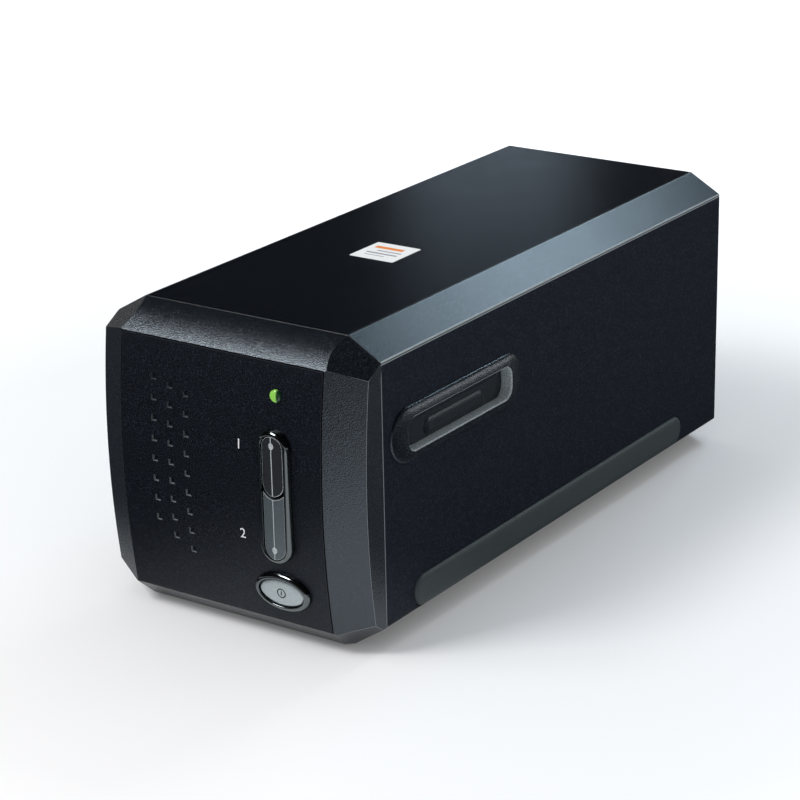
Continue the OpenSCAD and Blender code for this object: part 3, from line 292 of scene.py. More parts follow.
def loft(name, rings, closed=False):
    """Faces from each ring to the next. A closed loft joins the last to the first, an open one is capped."""
    for number, ring in enumerate(rings):
        mark = ring.data.attributes.new("ring", "INT", "POINT")
        mark.data.foreach_set("value", [number] * len(ring.data.vertices))
    last = len(rings) - 1
    obj = join(rings)
    obj.name = obj.data.name = name

    def on(edge, numbers):
        layer = bmesh.from_edit_mesh(obj.data).verts.layers.int["ring"]
        ends = {vert[layer] for vert in edge.verts}
        return len(ends) == 1 and ends <= numbers

    with editing(obj):
        for number in range(last + 1 if closed else last):
            pair = {number, (number + 1) % (last + 1)}
            pick(obj, "edges", lambda edge: on(edge, pair))
            bpy.ops.mesh.bridge_edge_loops()
        for number in () if closed else (0, last):
            pick(obj, "edges", lambda edge: on(edge, {number}))
            bpy.ops.mesh.edge_face_add()
        bpy.ops.mesh.select_all(action="SELECT")
        bpy.ops.mesh.normals_make_consistent(inside=False)
    return obj


def slab(name, facing, near, far, centre, size, radius=None, steps=10):
    """A straight bar with such an outline between two places along its axis."""
    axis = "XYZ".index(facing)
    rings = []
    for place in (near, far):
        at = Vector(centre)
        at[axis] = place
        rings.append(outline(facing, at, size, radius, steps))
    return loft(name, rings)


# %% [markdown]
# ## Finishes
# Shader maths reads better as Python sums than as rows of nodes. `Signal` wraps one socket, and adding or
# multiplying two signals adds the Math node that does it. `Finish` is a material with a Principled shader.

# %% Shader maths
class Signal:
    """One shader value that can be used in a Python expression."""

    def __init__(self, finish, socket):
        self.finish = finish
        self.socket = socket

    def maths(self, operation, first, second=0.0, clamp=False):
        settings = {"operation": operation, "use_clamp": clamp}
        return self.finish.add("Math", settings, {0: first, 1: second})

    def __add__(self, other):
        return self.maths("ADD", self, other)

    def __sub__(self, other):
        return self.maths("SUBTRACT", self, other)

    def __rsub__(self, other):
        return self.maths("SUBTRACT", other, self)

    def __mul__(self, other):
        return self.maths("MULTIPLY", self, other)

    def __gt__(self, other):
        return self.maths("GREATER_THAN", self, other)

    def __lt__(self, other):
        return self.maths("LESS_THAN", self, other)

    def size(self):
        return self.maths("ABSOLUTE", self)

    __radd__ = __add__
    __rmul__ = __mul__


class Finish:
    """A material that is built step by step round its Principled shader."""

    def __init__(self, name, colour, roughness=0.5, **settings):
        self.material = bpy.data.materials.new(name)
        self.material.use_nodes = True
        self.tree = self.material.node_tree
        self.shader = self.tree.nodes["Principled BSDF"]
        self.set("Base Color", (*colour, 1))
        self.set("Roughness", roughness)
        for key, value in settings.items():
            self.set(key.replace("_", " ").title().replace("Ior", "IOR"), value)
        self.place = self.add("TexCoord", output="Object")

    def set(self, name, value):
        socket = self.shader.inputs[name]
        if isinstance(value, Signal):
            self.tree.links.new(value.socket, socket)
        else:
            socket.default_value = value

    def add(self, kind, settings=(), inputs=(), output=0):
        node = self.tree.nodes.new("ShaderNode" + kind)
        for key, value in dict(settings).items():
            setattr(node, key, value)
        for key, value in dict(inputs).items():
            if isinstance(value, Signal):
                self.tree.links.new(value.socket, node.inputs[key])
            else:
                node.inputs[key].default_value = value
        return Signal(self, node.outputs[output])

    def noise(self, grain, detail=2.0, output="Fac"):
        """Noise whose lumps are about grain across, in metres."""
        return self.add("TexNoise", (), {"Vector": self.place, "Scale": 1 / grain, "Detail": detail}, output)

    def ramp(self, value, low, high):
        """0 below low, 1 above high, and a straight rise between."""
        return self.add("MapRange", {"clamp": True}, {"Value": value, "From Min": low, "From Max": high})

    def blend(self, factor, one, other):
        """One colour where the factor is 0, the other where it is 1."""
        inputs = {"Factor": factor, 6: self.colour(one), 7: self.colour(other)}
        return self.add("Mix", {"data_type": "RGBA"}, inputs, 2)

    def colour(self, value):
        return value if isinstance(value, Signal) else (*value, 1)

    def bump(self, height, strength, distance):
        inputs = {"Height": height, "Strength": strength, "Distance": distance}
        self.set("Normal", self.add("Bump", (), inputs))


# %% [markdown]
# ## Moulded plastic
# The shells are moulded in black plastic against an etched steel mould, which gives a fine pebbled grain.
# It could be cut into the mesh, but so many pebbles are far cheaper as a bump: noise whose lumps are about
# half a millimetre wide makes the surface sparkle where a lamp grazes it. The tops of the pebbles are
# rubbed smoother and paler, so the same noise goes into the colour and the roughness too. Each shell has
# its own mix, because the bezel's grain is coarser and glossier than the panel's, and the top is smoother
# than both.

# %% Moulded plastic
COOL_GLOSS = (0.78, 0.89, 1.0, 1)
PEBBLE_TOPS = (0.5, 0.72)  # the noise rises from a hollow to a rubbed top between these values
PEBBLE_HEIGHT = 0.2 * mm
WEAR_SIZE = 24 * mm


def moulded(name, colour, roughness=0.3, grain=0.65 * mm, depth=0.12, specular=0.1, contrast=3.0):
    """Plastic whose pebbles are grain wide and whose tops are contrast times paler."""
    finish = Finish(name, colour, roughness, specular_ior_level=specular)
    finish.set("Specular Tint", COOL_GLOSS)
    pebbles = finish.noise(grain, 1.5)
    wear = finish.noise(WEAR_SIZE, 3)
    sparkle = finish.ramp(pebbles, *PEBBLE_TOPS)
    finish.set("Base Color", finish.blend(sparkle, colour, [contrast * c for c in colour]))
    finish.set("Roughness", roughness + 0.08 * (wear - 0.5) - 0.08 * sparkle)
    finish.bump(pebbles, depth, PEBBLE_HEIGHT)
    return finish.material


# %% Plastic of each shell
case_plastic = moulded("case plastic", (0.0062, 0.0086, 0.0142), roughness=0.45, grain=0.5 * mm, depth=0.2,
                       specular=0.12, contrast=3.5)
top_plastic = moulded("top plastic", (0.0014, 0.0020, 0.0033), roughness=0.2, grain=0.46 * mm, depth=0.22,
                      specular=0.1, contrast=6)
bezel_plastic = moulded("bezel plastic", (0.0017, 0.0024, 0.0034), roughness=0.25, grain=0.5 * mm, depth=0.7,
                        specular=1.0, contrast=11)
panel_plastic = moulded("panel plastic", (0.0020, 0.0026, 0.0044), roughness=0.4, grain=0.46 * mm, depth=0.45,
                        specular=0.25, contrast=6.5)
slot_plastic = moulded("slot plastic", (0.0020, 0.0027, 0.0038), roughness=0.3, grain=0.46 * mm, depth=0.5,
                       specular=0.8, contrast=10)
flap_plastic = moulded("flap plastic", (0.0050, 0.0066, 0.0084), roughness=0.36, grain=0.42 * mm, depth=0.4,
                       specular=0.45, contrast=5)
rear_plastic = moulded("rear plastic", (0.0036, 0.0048, 0.0074), roughness=0.38)
# Pale plastic for the lip and the walls of the film mouth: a painted highlight
mouth_highlight_plastic = moulded("mouth painted highlight", (0.24, 0.27, 0.285), roughness=0.45, grain=0.42 * mm, depth=0.5,
                       specular=0.3, contrast=2.2)
print("shell plastics:", [made.name for made in (case_plastic, top_plastic, bezel_plastic, panel_plastic)])

# %% [markdown]
# ## Rubbed edges and painted highlights
# On the real machine the rounded edges of the black shells are a little paler than the faces, because
# handling polishes them. A bevel puts its new faces in a second slot, so one finish can be kept for all of
# them. In three places the edges are painted much paler, as painted highlights: on the front's right side,
# on the left and lower walls of the dimples, and along the right side at the parting line and at the edge
# of the slant above it. Such places could be painted by hand, but masks that are worked out from the place
# need no picture and stay sharp at any size: a ramp is 0 on one side of a plane and 1 on the other, and the
# product of a few ramps is a box.

# %% Rubbed edges and painted highlights
# The dark colour is the worn edges' own, and the pale one is a painted highlight
DARK_EDGE = (0.013, 0.015, 0.018)
HIGHLIGHT_EDGE = (0.26, 0.29, 0.31)
DIMPLE_HIGHLIGHT = 0.45
RIM_TOP = TOP - CHAMFER_DROP
wear_and_highlight = Finish("worn edges and painted highlights", DARK_EDGE, 0.32, specular_ior_level=0.35)
edge_x, edge_y, edge_z = (wear_and_highlight.add("SeparateXYZ", (), {0: wear_and_highlight.place}, axis) for axis in range(3))
in_front = wear_and_highlight.ramp(edge_y, SEAM + 0.6 * mm, SEAM + 0.1 * mm)
# Painted highlight on the front's right edge
painted_highlights = in_front * wear_and_highlight.ramp(edge_x, 48 * mm, 52 * mm) * wear_and_highlight.ramp(edge_z, 108 * mm, 105 * mm)

# %% Painted highlight on the dimple walls, paler towards the bottom
dimples = wear_and_highlight.ramp(edge_x, -35 * mm, -34 * mm) * wear_and_highlight.ramp(edge_x, -11 * mm, -12 * mm)
dimples = dimples * wear_and_highlight.ramp(edge_z, 20 * mm, 21 * mm) * wear_and_highlight.ramp(edge_z, 105 * mm, 55 * mm)
painted_highlights = painted_highlights + in_front * dimples * DIMPLE_HIGHLIGHT

# %% The two pale lines along the right side: painted highlights
lines = (wear_and_highlight.ramp(edge_z, COVER - 1.2 * mm, COVER - 0.6 * mm)
         * wear_and_highlight.ramp(edge_z, RIM_TOP + mm, RIM_TOP + 0.5 * mm))
between = (wear_and_highlight.ramp(edge_z, COVER - 0.05 * mm, COVER + 0.05 * mm)
           * wear_and_highlight.ramp(edge_z, RIM_TOP - 0.3 * mm, RIM_TOP - 0.4 * mm))
lines = lines * (1 - between)
painted_highlights = painted_highlights + (1 - in_front) * lines * wear_and_highlight.ramp(edge_x, 50 * mm, 55 * mm)
# Where the mask is 1, the edges take the pale colour: painted highlights
wear_and_highlight.set("Base Color", wear_and_highlight.blend(painted_highlights, DARK_EDGE, HIGHLIGHT_EDGE))
wear_and_highlight_plastic = wear_and_highlight.material
print("parting line and slant edge in mm:", round(COVER / mm, 2), round(RIM_TOP / mm, 2))

# %% [markdown]
# ## Finishing a piece
# A rounded edge only looks right when the big flat faces stay flat in their shading, so each piece gets
# weighted normals. Then it is hung on the body that it moves with, and the solid of the frame that it stands
# for is hidden.

# %% Finish one piece
def dress(obj, material, edges=wear_and_highlight_plastic):
    """Puts the material on obj, and the edges' finish on the faces of its second slot, if it has one."""
    slots = obj.data.materials
    if len(slots) == 2 and slots[0] is None:
        slots[0], slots[1] = material, edges
    else:
        slots.clear()
        slots.append(material)
    return obj


def complete(obj, material, body, slot, *stands_for, smooth=40, edges=wear_and_highlight_plastic):
    """Cleans and shades a new piece, dresses it, hangs it on its body and hides the solids that it stands
    for.
    """
    with editing(obj, "VERT"):
        bpy.ops.mesh.select_all(action="SELECT")
        bpy.ops.mesh.remove_doubles(threshold=0.002 * mm)
    activate(obj)
    bpy.ops.object.shade_smooth_by_angle(angle=math.radians(smooth))
    modify(obj, "WEIGHTED_NORMAL", keep_sharp=True)
    dress(obj, material, edges)
    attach(obj, body)
    if stands_for:
        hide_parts(*stands_for)
    print(f"{obj.name}: {len(obj.data.polygons)} faces, rides on {body}")
    return obj


# %% [markdown]
# ## The casing
# The casing is an eight-sided bar: a box whose four long edges are cut off at a slant. Cutting a box with
# planes keeps the corners exact, and an inset moves all eight planes in by the wall's thickness, so the
# same function makes the hollow.

# %% The eight-sided bar
def casing_bar(name, y0, y1, inset=0.0):
    bar = block(name, (inset - SIDE, y0, FOOT + inset), (SIDE - inset, y1, TOP - inset))
    for s in (-1, 1):
        slants = [((s * (SIDE - CHAMFER_RUN), 0, TOP), (s * CHAMFER_DROP, 0, CHAMFER_RUN)),
                  ((s * (SIDE - BELLY_RUN), 0, FOOT), (s * BELLY_RISE, 0, -BELLY_RUN))]
        for point, normal in slants:
            outward = Vector(normal).normalized()
            cut_off(bar, Vector(point) - inset * outward, outward)
    return bar


# %% [markdown]
# The lower case is the floor, the bottom slants and the sides. Its edges are rounded first, while the bar
# is still a simple solid, then it is hollowed and cut at the parting line, and the rim's edge is rounded
# too. Pockets for the film mouth, the side strip and the feet come last, so that no rounding eats into
# them.

# %% Lower case
EDGE_ROUND = 0.42 * mm
RIM_ROUND = 0.32 * mm
SPARE = 1 * mm


def on_parting_line(edge):
    """True for an outer edge of a shell's rim."""
    return all(abs(vert.co.z - COVER) < 0.01 * mm and abs(vert.co.x) > SIDE - EDGE_ROUND
               for vert in edge.verts)


lower_case = soften(casing_bar("lower_case_shell", SEAM, REAR), EDGE_ROUND)
combine(lower_case, casing_bar("hollow", SEAM - SPARE, REAR + SPARE, WALL))
combine(lower_case, block("above", (-2 * SIDE, SEAM - SPARE, COVER), (2 * SIDE, REAR + SPARE, 2 * TOP)))
bevel(lower_case, RIM_ROUND, 2, on_parting_line)

# %% [markdown]
# The film holder passes through the machine from side to side, so each side has a mouth with a frame. The
# frame's neck goes through the wall. Its place is read from the frame's solid, and only the mouth's own
# width, height and corners are typed in, because a box doesn't tell them.

# %% Where the film mouth is
rim_low, rim_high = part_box("slot_frame_right")
SLOT_Y = (rim_low.y + rim_high.y) / 2
SLOT_Z = (rim_low.z + rim_high.z) / 2
NECK_X = rim_low.x
RIM_X = rim_high.x
MOUTH = (69 * mm, 12.7 * mm)
MOUTH_R = 4.5 * mm
NECK = (MOUTH[0] + 7 * mm, MOUTH[1] + 4.4 * mm)
NECK_R = MOUTH_R + 1 * mm
mouth_centre = Vector((0, SLOT_Y, SLOT_Z))
print("film mouth at mm:", round(SLOT_Y / mm, 1), round(SLOT_Z / mm, 1))

# %% Pockets in the lower case
strip_low, strip_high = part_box("side_strip_right")
strip_centre = (strip_low + strip_high) / 2
STRIP = (strip_high.y - strip_low.y, strip_high.z - strip_low.z)
STRIP_R = STRIP[1] / 2 - 0.5 * mm
GROOVE = 0.5 * mm
feet_low, feet_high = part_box("rubber_feet")
FOOT_R = 7 * mm
FOOT_SEAT = 1.6 * mm
foot_places = [Vector((x, y, 0)) for x in (feet_low.x + FOOT_R, feet_high.x - FOOT_R)
               for y in (feet_low.y + FOOT_R, feet_high.y - FOOT_R)]

for s in (-1, 1):
    combine(lower_case, slab("neck hole", "X", s * (SIDE - 2 * WALL), s * (SIDE + SPARE), mouth_centre,
                             NECK, NECK_R))
    grown = (STRIP[0] + 2 * GROOVE, STRIP[1] + 2 * GROOVE)
    combine(lower_case, slab("strip pocket", "X", s * strip_low.x, s * (SIDE + SPARE), strip_centre,
                             grown, STRIP_R + GROOVE))
for place in foot_places:
    combine(lower_case, rod("foot pocket", "Z", place + Vector((0, 0, FOOT)), FOOT_R + 0.1 * mm, FOOT_SEAT))
complete(lower_case, case_plastic, "casing", "case_plastic", "lower_case")

# %% [markdown]
# The top cover is the other part of the same bar. It carries a shallow seat for the label. Its underside is
# softened too: with the lower case's rim, that makes the fine line along the side, which the edge finish
# paints bright on the right side as a painted highlight.

# %% Top cover
LABEL_SEAT = 0.1 * mm
label_low, label_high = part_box("top_label")

top_cover = soften(casing_bar("top_cover_shell", SEAM, REAR), EDGE_ROUND)
combine(top_cover, casing_bar("hollow", SEAM - SPARE, REAR + SPARE, WALL))
combine(top_cover, block("below", (-2 * SIDE, SEAM - SPARE, -SPARE), (2 * SIDE, REAR + SPARE, COVER)))
bevel(top_cover, RIM_ROUND, 2, on_parting_line)
combine(top_cover, block("label seat", (label_low.x - LABEL_SEAT, label_low.y - LABEL_SEAT, TOP - LABEL_SEAT),
                         (label_high.x + LABEL_SEAT, label_high.y + LABEL_SEAT, TOP + SPARE)))
complete(top_cover, top_plastic, "casing", "case_plastic", "top_cover")

# %% [markdown]
# ## The bezel
# The bezel is the thick frame that closes the casing in front and holds the panel. It starts as the same
# eight-sided bar, only as deep as the bezel. Its front and its two sides bulge. A bulge could be bent into
# a flat face, but what the bar shares with a large lying cylinder is exactly that form, and its edges stay
# clean. One cylinder makes the front, and one on each side, turned outwards, makes the cheek.

# %% Bezel form
def front_at(z):
    """How far back the bulging front lies at a height."""
    return FRONT + BULGE_R - math.sqrt(BULGE_R ** 2 - (z - BULGE_Z) ** 2)


def bulge(name, radius):
    """A lying cylinder whose nearest line is the middle of the front."""
    return rod(name, "X", (0, FRONT + BULGE_R, BULGE_Z), radius, 4 * SIDE, 900)


LAP = 0.35 * mm  # how far a cut starts inside the edge that it makes, so that no sliver is left
bezel = casing_bar("bezel", FRONT - SPARE, SEAM)
combine(bezel, bulge("front bulge", BULGE_R), "INTERSECT")
slant = math.atan2(BEVEL_DROP, SIDE - WINDOW_HALF)
slant_r = BULGE_R / math.cos(slant)
for s in (-1, 1):
    inward = Vector((-s * math.sin(slant), math.cos(slant), 0))
    centre = Vector((s * (WINDOW_HALF - LAP), FRONT, BULGE_Z)) + slant_r * inward
    cheek = new("cylinder", "cheek bulge", vertices=900, radius=slant_r, depth=8 * SIDE, location=centre,
                rotation=(0, math.pi / 2, s * slant))
    combine(bezel, cheek, "INTERSECT")

# %% [markdown]
# Where the cheeks meet the top and bottom slants, the real bezel has small flat facets, like those of a cut
# stone, and its chin slopes back to the floor. A facet is a plane through three points that are easy to
# name, so the corner points are written down and a cut through them does the rest.

# %% Facets of the bezel
def facet(obj, a, b, c):
    """Cuts off what lies outside the plane through three points."""
    normal = (Vector(b) - Vector(a)).cross(Vector(c) - Vector(a)).normalized()
    if normal.dot(Vector(a) - Vector((0, 0, BULGE_Z))) < 0:
        normal = -normal
    cut_off(obj, a, normal)


CHEEK_DEPTH = 7 * mm
CHEEK_LOW = WINDOW_LOW + 4 * mm
CORNER_X = WINDOW_HALF + 0.6 * mm
SOLE_X = SIDE - BELLY_RUN - 2.9 * mm
SOLE_Y = SEAM - 5.7 * mm
brow_y, chin_y = front_at(WINDOW_HIGH), front_at(WINDOW_LOW)
lip = (0, front_at(WINDOW_LOW + LAP), WINDOW_LOW + LAP)
facet(bezel, lip, (SIDE, *lip[1:]), (0, SOLE_Y, FOOT))
for s in (-1, 1):
    temple, jaw = (s * CORNER_X, brow_y, WINDOW_HIGH), (s * CORNER_X, chin_y, WINDOW_LOW)
    facet(bezel, temple, (s * SIDE, SEAM + LAP, TOP - CHAMFER_DROP), (s * WINDOW_HALF, SEAM + LAP, TOP))
    facet(bezel, (s * SIDE, SEAM - CHEEK_DEPTH, CHEEK_LOW), jaw, (s * SOLE_X, SOLE_Y, FOOT))
print("bezel faces with its facets:", len(bezel.data.polygons))

# %% [markdown]
# The brow, the slant above the panel, is not flat: it rolls over from the front into the top. A wide bevel
# would also eat the facets beside it. So a block is laid over the brow, with its underside on the chord
# from the panel's edge to the crown, a lying cylinder hollows that underside, and the block is cut from the
# bezel.

# %% Rolled top edge
BROW_R = 45 * mm
brow = Vector((0, front_at(WINDOW_HIGH - LAP), WINDOW_HIGH - LAP))
crown = Vector((0, SEAM + LAP, TOP))
chord = crown - brow
up = Vector((0, -chord.z, chord.y)).normalized()
sagitta = BROW_R - math.sqrt(BROW_R ** 2 - (chord.length / 2) ** 2)
brow_centre = (brow + crown) / 2 - up * (BROW_R - sagitta)
over = new("cube", "over the brow", size=1, scale=(4 * SIDE, 60 * mm, 30 * mm),
           location=(brow + crown) / 2 + up * 15 * mm, rotation=(math.atan2(chord.z, chord.y), 0, 0))
combine(over, rod("brow roll", "X", brow_centre, BROW_R, 5 * SIDE, 200))
combine(bezel, over)
print("the brow stands over its chord by mm:", round(sagitta / mm, 2))

# %% [markdown]
# Last the window for the panel is cut and the bezel is hollowed from behind, as a moulded frame is, and
# then every edge that is left is rounded at once. Points that lie close together are merged first, because
# a bevel on a very short edge folds over itself.

# %% Window and rounded edges of the bezel
HOLLOW_Y = FRONT + 12.5 * mm
window = block("window", (-WINDOW_HALF, FRONT - 5 * mm, WINDOW_LOW), (WINDOW_HALF, SEAM + SPARE, WINDOW_HIGH))
combine(bezel, window)
combine(bezel, casing_bar("inside", HOLLOW_Y, SEAM + SPARE, 2 * WALL))
soften(merge(bezel, 0.15 * mm), 0.45 * mm, 14, 3)
print("bezel faces:", len(bezel.data.polygons))
complete(bezel, bezel_plastic, "casing", "case_plastic", "bezel_frame", smooth=30)

# %% [markdown]
# ## Front panel
# The panel is a curved plate that is let into the bezel's window: what a block shares with the bulge, less
# a slightly smaller bulge. A thin gap is left all round it, which shows as a dark line.

# %% Panel plate
PANEL_GAP = 0.35 * mm
PANEL_T = 2.4 * mm
panel = block("front_panel_plate", (PANEL_GAP - WINDOW_HALF, FRONT - SPARE, WINDOW_LOW + PANEL_GAP),
              (WINDOW_HALF - PANEL_GAP, FRONT + 10 * mm, WINDOW_HIGH - PANEL_GAP))
combine(panel, bulge("bulge", BULGE_R), "INTERSECT")
combine(panel, bulge("hollow", BULGE_R - PANEL_T))
soften(panel, 0.3 * mm, 40, 2)
print("panel faces:", len(panel.data.polygons))

# %% Where the controls are
CONTROL_X = 25.3 * mm  # all controls stand in one column
CAPSULE_Z = 59.5 * mm
CAPSULE = (14.2 * mm, 51.2 * mm)
POWER_Z = 21.9 * mm
POWER_RING = (24.7 * mm, 15.4 * mm)
POWER_CAP = (19.6 * mm, 10.6 * mm)
LIGHT_Z = 97.2 * mm
LIGHT_R = 2.35 * mm
POWER_TILT = math.asin((BULGE_Z - POWER_Z) / BULGE_R)
print("tilt of the power button in degrees:", round(math.degrees(POWER_TILT), 1))

# %% [markdown]
# Each control comes through a hole that its frame covers, so the holes are a little smaller than the
# frames. A round end is half as wide as its bar. Its radius is a hair less than that, so that the two
# corners of the outline don't meet in one point.

# %% Holes for the controls
HAIR = 0.01 * mm


def smaller(size, by):
    """A width and height that are both less by the same amount."""
    return tuple(v - by for v in size)


hole = smaller(CAPSULE, 1.4 * mm)
combine(panel, slab("capsule hole", "Y", FRONT - SPARE, FRONT + 9 * mm, (CONTROL_X, 0, CAPSULE_Z), hole,
                    hole[0] / 2 - HAIR, 16))
combine(panel, slab("power hole", "Y", FRONT - SPARE, FRONT + 9 * mm, (CONTROL_X, 0, POWER_Z),
                    smaller(POWER_RING, 1.8 * mm), steps=15))
combine(panel, rod("light hole", "Y", (CONTROL_X, FRONT, LIGHT_Z), LIGHT_R + 0.15 * mm, 20 * mm))

# %% [markdown]
# The dimples are three columns of small square hollows. An image could stand for them, but real hollows
# catch the light from every side. They are made once, as a small plug that tapers inwards like the pin of a
# mould, and copied down the curve. All plugs are joined first, so that one cut makes all the dimples. The
# walls on two sides of the plug are in its second slot: they become the dimples' left and lower walls,
# which the edge finish paints pale as a painted highlight.

# %% Dimples
DIMPLE = 2.5 * mm
DIMPLE_DEPTH = 0.75 * mm
DIMPLE_TAPER = 0.74
DIMPLE_LEAD = 0.15 * mm  # how far a plug stands out of the panel
DIMPLE_X = -30 * mm
DIMPLE_PITCH = 7.4 * mm
# the highest and the lowest dimple of each column, and how many there are
COLUMNS = [(94.7 * mm, 39.7 * mm, 8), (92.6 * mm, 33.7 * mm, 9), (90.7 * mm, 29.6 * mm, 9)]

plug = block("dimple", (-DIMPLE / 2, -DIMPLE_LEAD, -DIMPLE / 2), (DIMPLE / 2, DIMPLE_DEPTH, DIMPLE / 2))
# The plug's left and lower faces go in the second slot: painted highlight on those dimple walls
dress(two_slots(plug, lambda face: min(face.normal.x, face.normal.z) < -0.5), panel_plastic)
with editing(plug, "FACE"):
    pick(plug, "faces", lambda face: face.normal.y > 0.9)
    bpy.ops.transform.resize(value=(DIMPLE_TAPER, 1, DIMPLE_TAPER))
plugs = []
for column, (high, low, count) in enumerate(COLUMNS):
    for step in range(count):
        z = high + (low - high) * step / (count - 1)
        plugs.append(copy(plug, "dimple copy", (DIMPLE_X + column * DIMPLE_PITCH, front_at(z), z)))
bpy.data.objects.remove(plug)
combine(panel, join(plugs))
complete(panel, panel_plastic, "casing", "panel_plastic", "front_panel", smooth=30)
print("dimples:", sum(count for high, low, count in COLUMNS))

# %% [markdown]
# ## Film mouths
# The rim round each mouth is a soft swelling: wide and low at the ends, narrow above and below. Eleven
# outlines of changing size carry its profile from the casing's side over the crest and into the mouth, and
# the loft is closed through the neck behind, so the frame is one watertight ring. The left one is a mirror.

# %% Slot frames
mouth_edge = [  # in mm: height over the side, how much longer and higher than the mouth, corner radius
    (0.0, 18.3, 8.6, 10.6), (0.5, 18.0, 8.5, 10.4), (0.85, 17.2, 8.1, 10.1), (1.3, 14.6, 7.0, 9.4),
    (1.7, 10.6, 5.4, 8.1), (2.0, 6.0, 3.5, 6.5), (2.2, 1.9, 1.5, 5.2), (2.18, 0.9, 0.9, 4.9),
    (2.0, 0.35, 0.35, 4.65), (1.75, 0.1, 0.1, 4.55), (1.5, 0.0, 0.0, 4.5)]
rings = [outline("X", mouth_centre + Vector((SIDE + rise * mm, 0, 0)),
                 (MOUTH[0] + long * mm, MOUTH[1] + high * mm), radius * mm, 12)
         for rise, long, high, radius in mouth_edge]
for x, size, radius in ((NECK_X, MOUTH, MOUTH_R), (NECK_X + 0.3 * mm, NECK, NECK_R),
                        (SIDE + 0.3 * mm, NECK, NECK_R)):
    rings.append(outline("X", mouth_centre + Vector((x, 0, 0)), size, radius, 12))
slot_right = loft("slot_frame_right_rim", rings, closed=True)

# %% [markdown]
# The lip and the walls of the mouth, apart from its roof, which faces down, are painted pale: a painted
# highlight. A face counts as pale when it lies on the lip or in the mouth. The test measures how far the
# face's middle lies outside the mouth's round-cornered outline, so that the pale band has the same width
# at the corners as along the sides.

# %% Where the mouth is painted pale
LIP = 0.6 * mm


def painted_highlight_in_mouth(face):
    """True for the lip, and for the walls of the mouth apart from its roof."""
    across = abs(face.center.y - SLOT_Y) - MOUTH[0] / 2
    up = abs(face.center.z - SLOT_Z) - MOUTH[1] / 2
    outside = math.hypot(max(across + MOUTH_R, 0), max(up + MOUTH_R, 0)) - MOUTH_R
    if face.center.x > RIM_X - LIP:
        return outside < 0.4 * mm
    return outside < 0.25 * mm and face.normal.z > -0.95


# The lip and the mouth's walls go in the second slot, where they are painted pale: painted highlight
two_slots(slot_right, painted_highlight_in_mouth)
slot_left = copy(slot_right, "slot_frame_left_rim", mirrored=True)
for slot_frame, node in ((slot_right, "slot_frame_right"), (slot_left, "slot_frame_left")):
    complete(slot_frame, slot_plastic, "casing", "case_plastic", node, smooth=50, edges=mouth_highlight_plastic)

# %% [markdown]
# Each dust flap is a thin plate with a barrel round its pin and a soft raised pad on its outer face. The
# plate's corners follow the mouth's corners. The flap rides on a body of its own.

# %% Dust flaps
flap_low, flap_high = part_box("dust_flap_right")
FLAP_T = 1.4 * mm
BARREL_R = 1.7 * mm
FLAP_X = flap_low.x + BARREL_R
FLAP_Z = flap_high.z - BARREL_R
END_GAP = 1.5 * mm
FLAP_GAP = 0.3 * mm
PAD = (40, 7)  # the pad at its foot, in mm
PAD_R = 3.45
PAD_DROP = 2.2 * mm


def pad_rings():
    """The pad's outline, from the plate's face out to its rounded crest."""
    for rise, trim in ((0, 0), (0.22, 0.5), (0.45, 1.3), (0.66, 2.4), (0.8, 3.6), (0.88, 5.0)):
        middle = (FLAP_X + FLAP_T / 2 + rise * mm, SLOT_Y, SLOT_Z - PAD_DROP)
        yield outline("X", middle, ((PAD[0] - trim) * mm, (PAD[1] - trim) * mm), (PAD_R - trim / 2) * mm, 10)


flap = slab("dust_flap_right_plate", "X", FLAP_X - FLAP_T / 2, FLAP_X + FLAP_T / 2, mouth_centre,
            (MOUTH[0] - 2 * END_GAP, MOUTH[1] - 2 * FLAP_GAP), MOUTH_R - FLAP_GAP)
cut_off(flap, (0, 0, FLAP_Z), (0, 0, 1))
soften(flap, 0.15 * mm, 40, 2)
barrel = rod("barrel", "Y", (FLAP_X, SLOT_Y, FLAP_Z), BARREL_R, MOUTH[0] - 12 * mm, 32)
flap = join([flap, barrel, loft("pad", list(pad_rings()))])
flap_left = copy(flap, "dust_flap_left_plate", mirrored=True)
complete(flap, flap_plastic, "flap_right", "flap_plastic", "dust_flap_right")
complete(flap_left, flap_plastic, "flap_left", "flap_plastic", "dust_flap_left")

# %% [markdown]
# ## Side strips and feet
# The side strip is a soft grey bar that stands a millimetre out of its pocket. Its face is rounded more
# than a bevel would make it, so it is a loft whose outlines draw in towards the front. The feet are low
# discs with a rounded lower edge. Both are moulded rubber: matt, with a faint cloudy bloom and hardly any
# grain.

# %% Rubber finish
def rubber(name, colour, roughness):
    """Matt rubber with a cloudy bloom."""
    finish = Finish(name, colour, roughness, specular_ior_level=0.4)
    bloom = finish.noise(9 * mm, 3)
    finish.set("Base Color", finish.blend(bloom, colour, [1.25 * c for c in colour]))
    finish.set("Roughness", roughness + 0.1 * (bloom - 0.5))
    finish.bump(finish.noise(0.25 * mm, 2), 0.15, 0.05 * mm)
    return finish.material


strip_rubber = rubber("strip rubber", (0.034, 0.046, 0.049), 0.45)
foot_rubber = rubber("foot rubber", (0.012, 0.012, 0.013), 0.7)

# %% Side strips
strip_rings = []
for place, trim in ((strip_low.x, 0), (SIDE + 0.2 * mm, 0), (SIDE + 0.62 * mm, 0.35), (SIDE + 0.9 * mm, 1.1),
                    (strip_high.x, 2.6)):
    middle = (place, strip_centre.y, strip_centre.z)
    strip_rings.append(outline("X", middle, smaller(STRIP, 2 * trim * mm), STRIP_R - trim * mm, 12))
strip = loft("side_strip_right_bar", strip_rings)
strip_left = copy(strip, "side_strip_left_bar", mirrored=True)
complete(strip, strip_rubber, "casing", "strip_rubber", "side_strip_right")
complete(strip_left, strip_rubber, "casing", "strip_rubber", "side_strip_left")

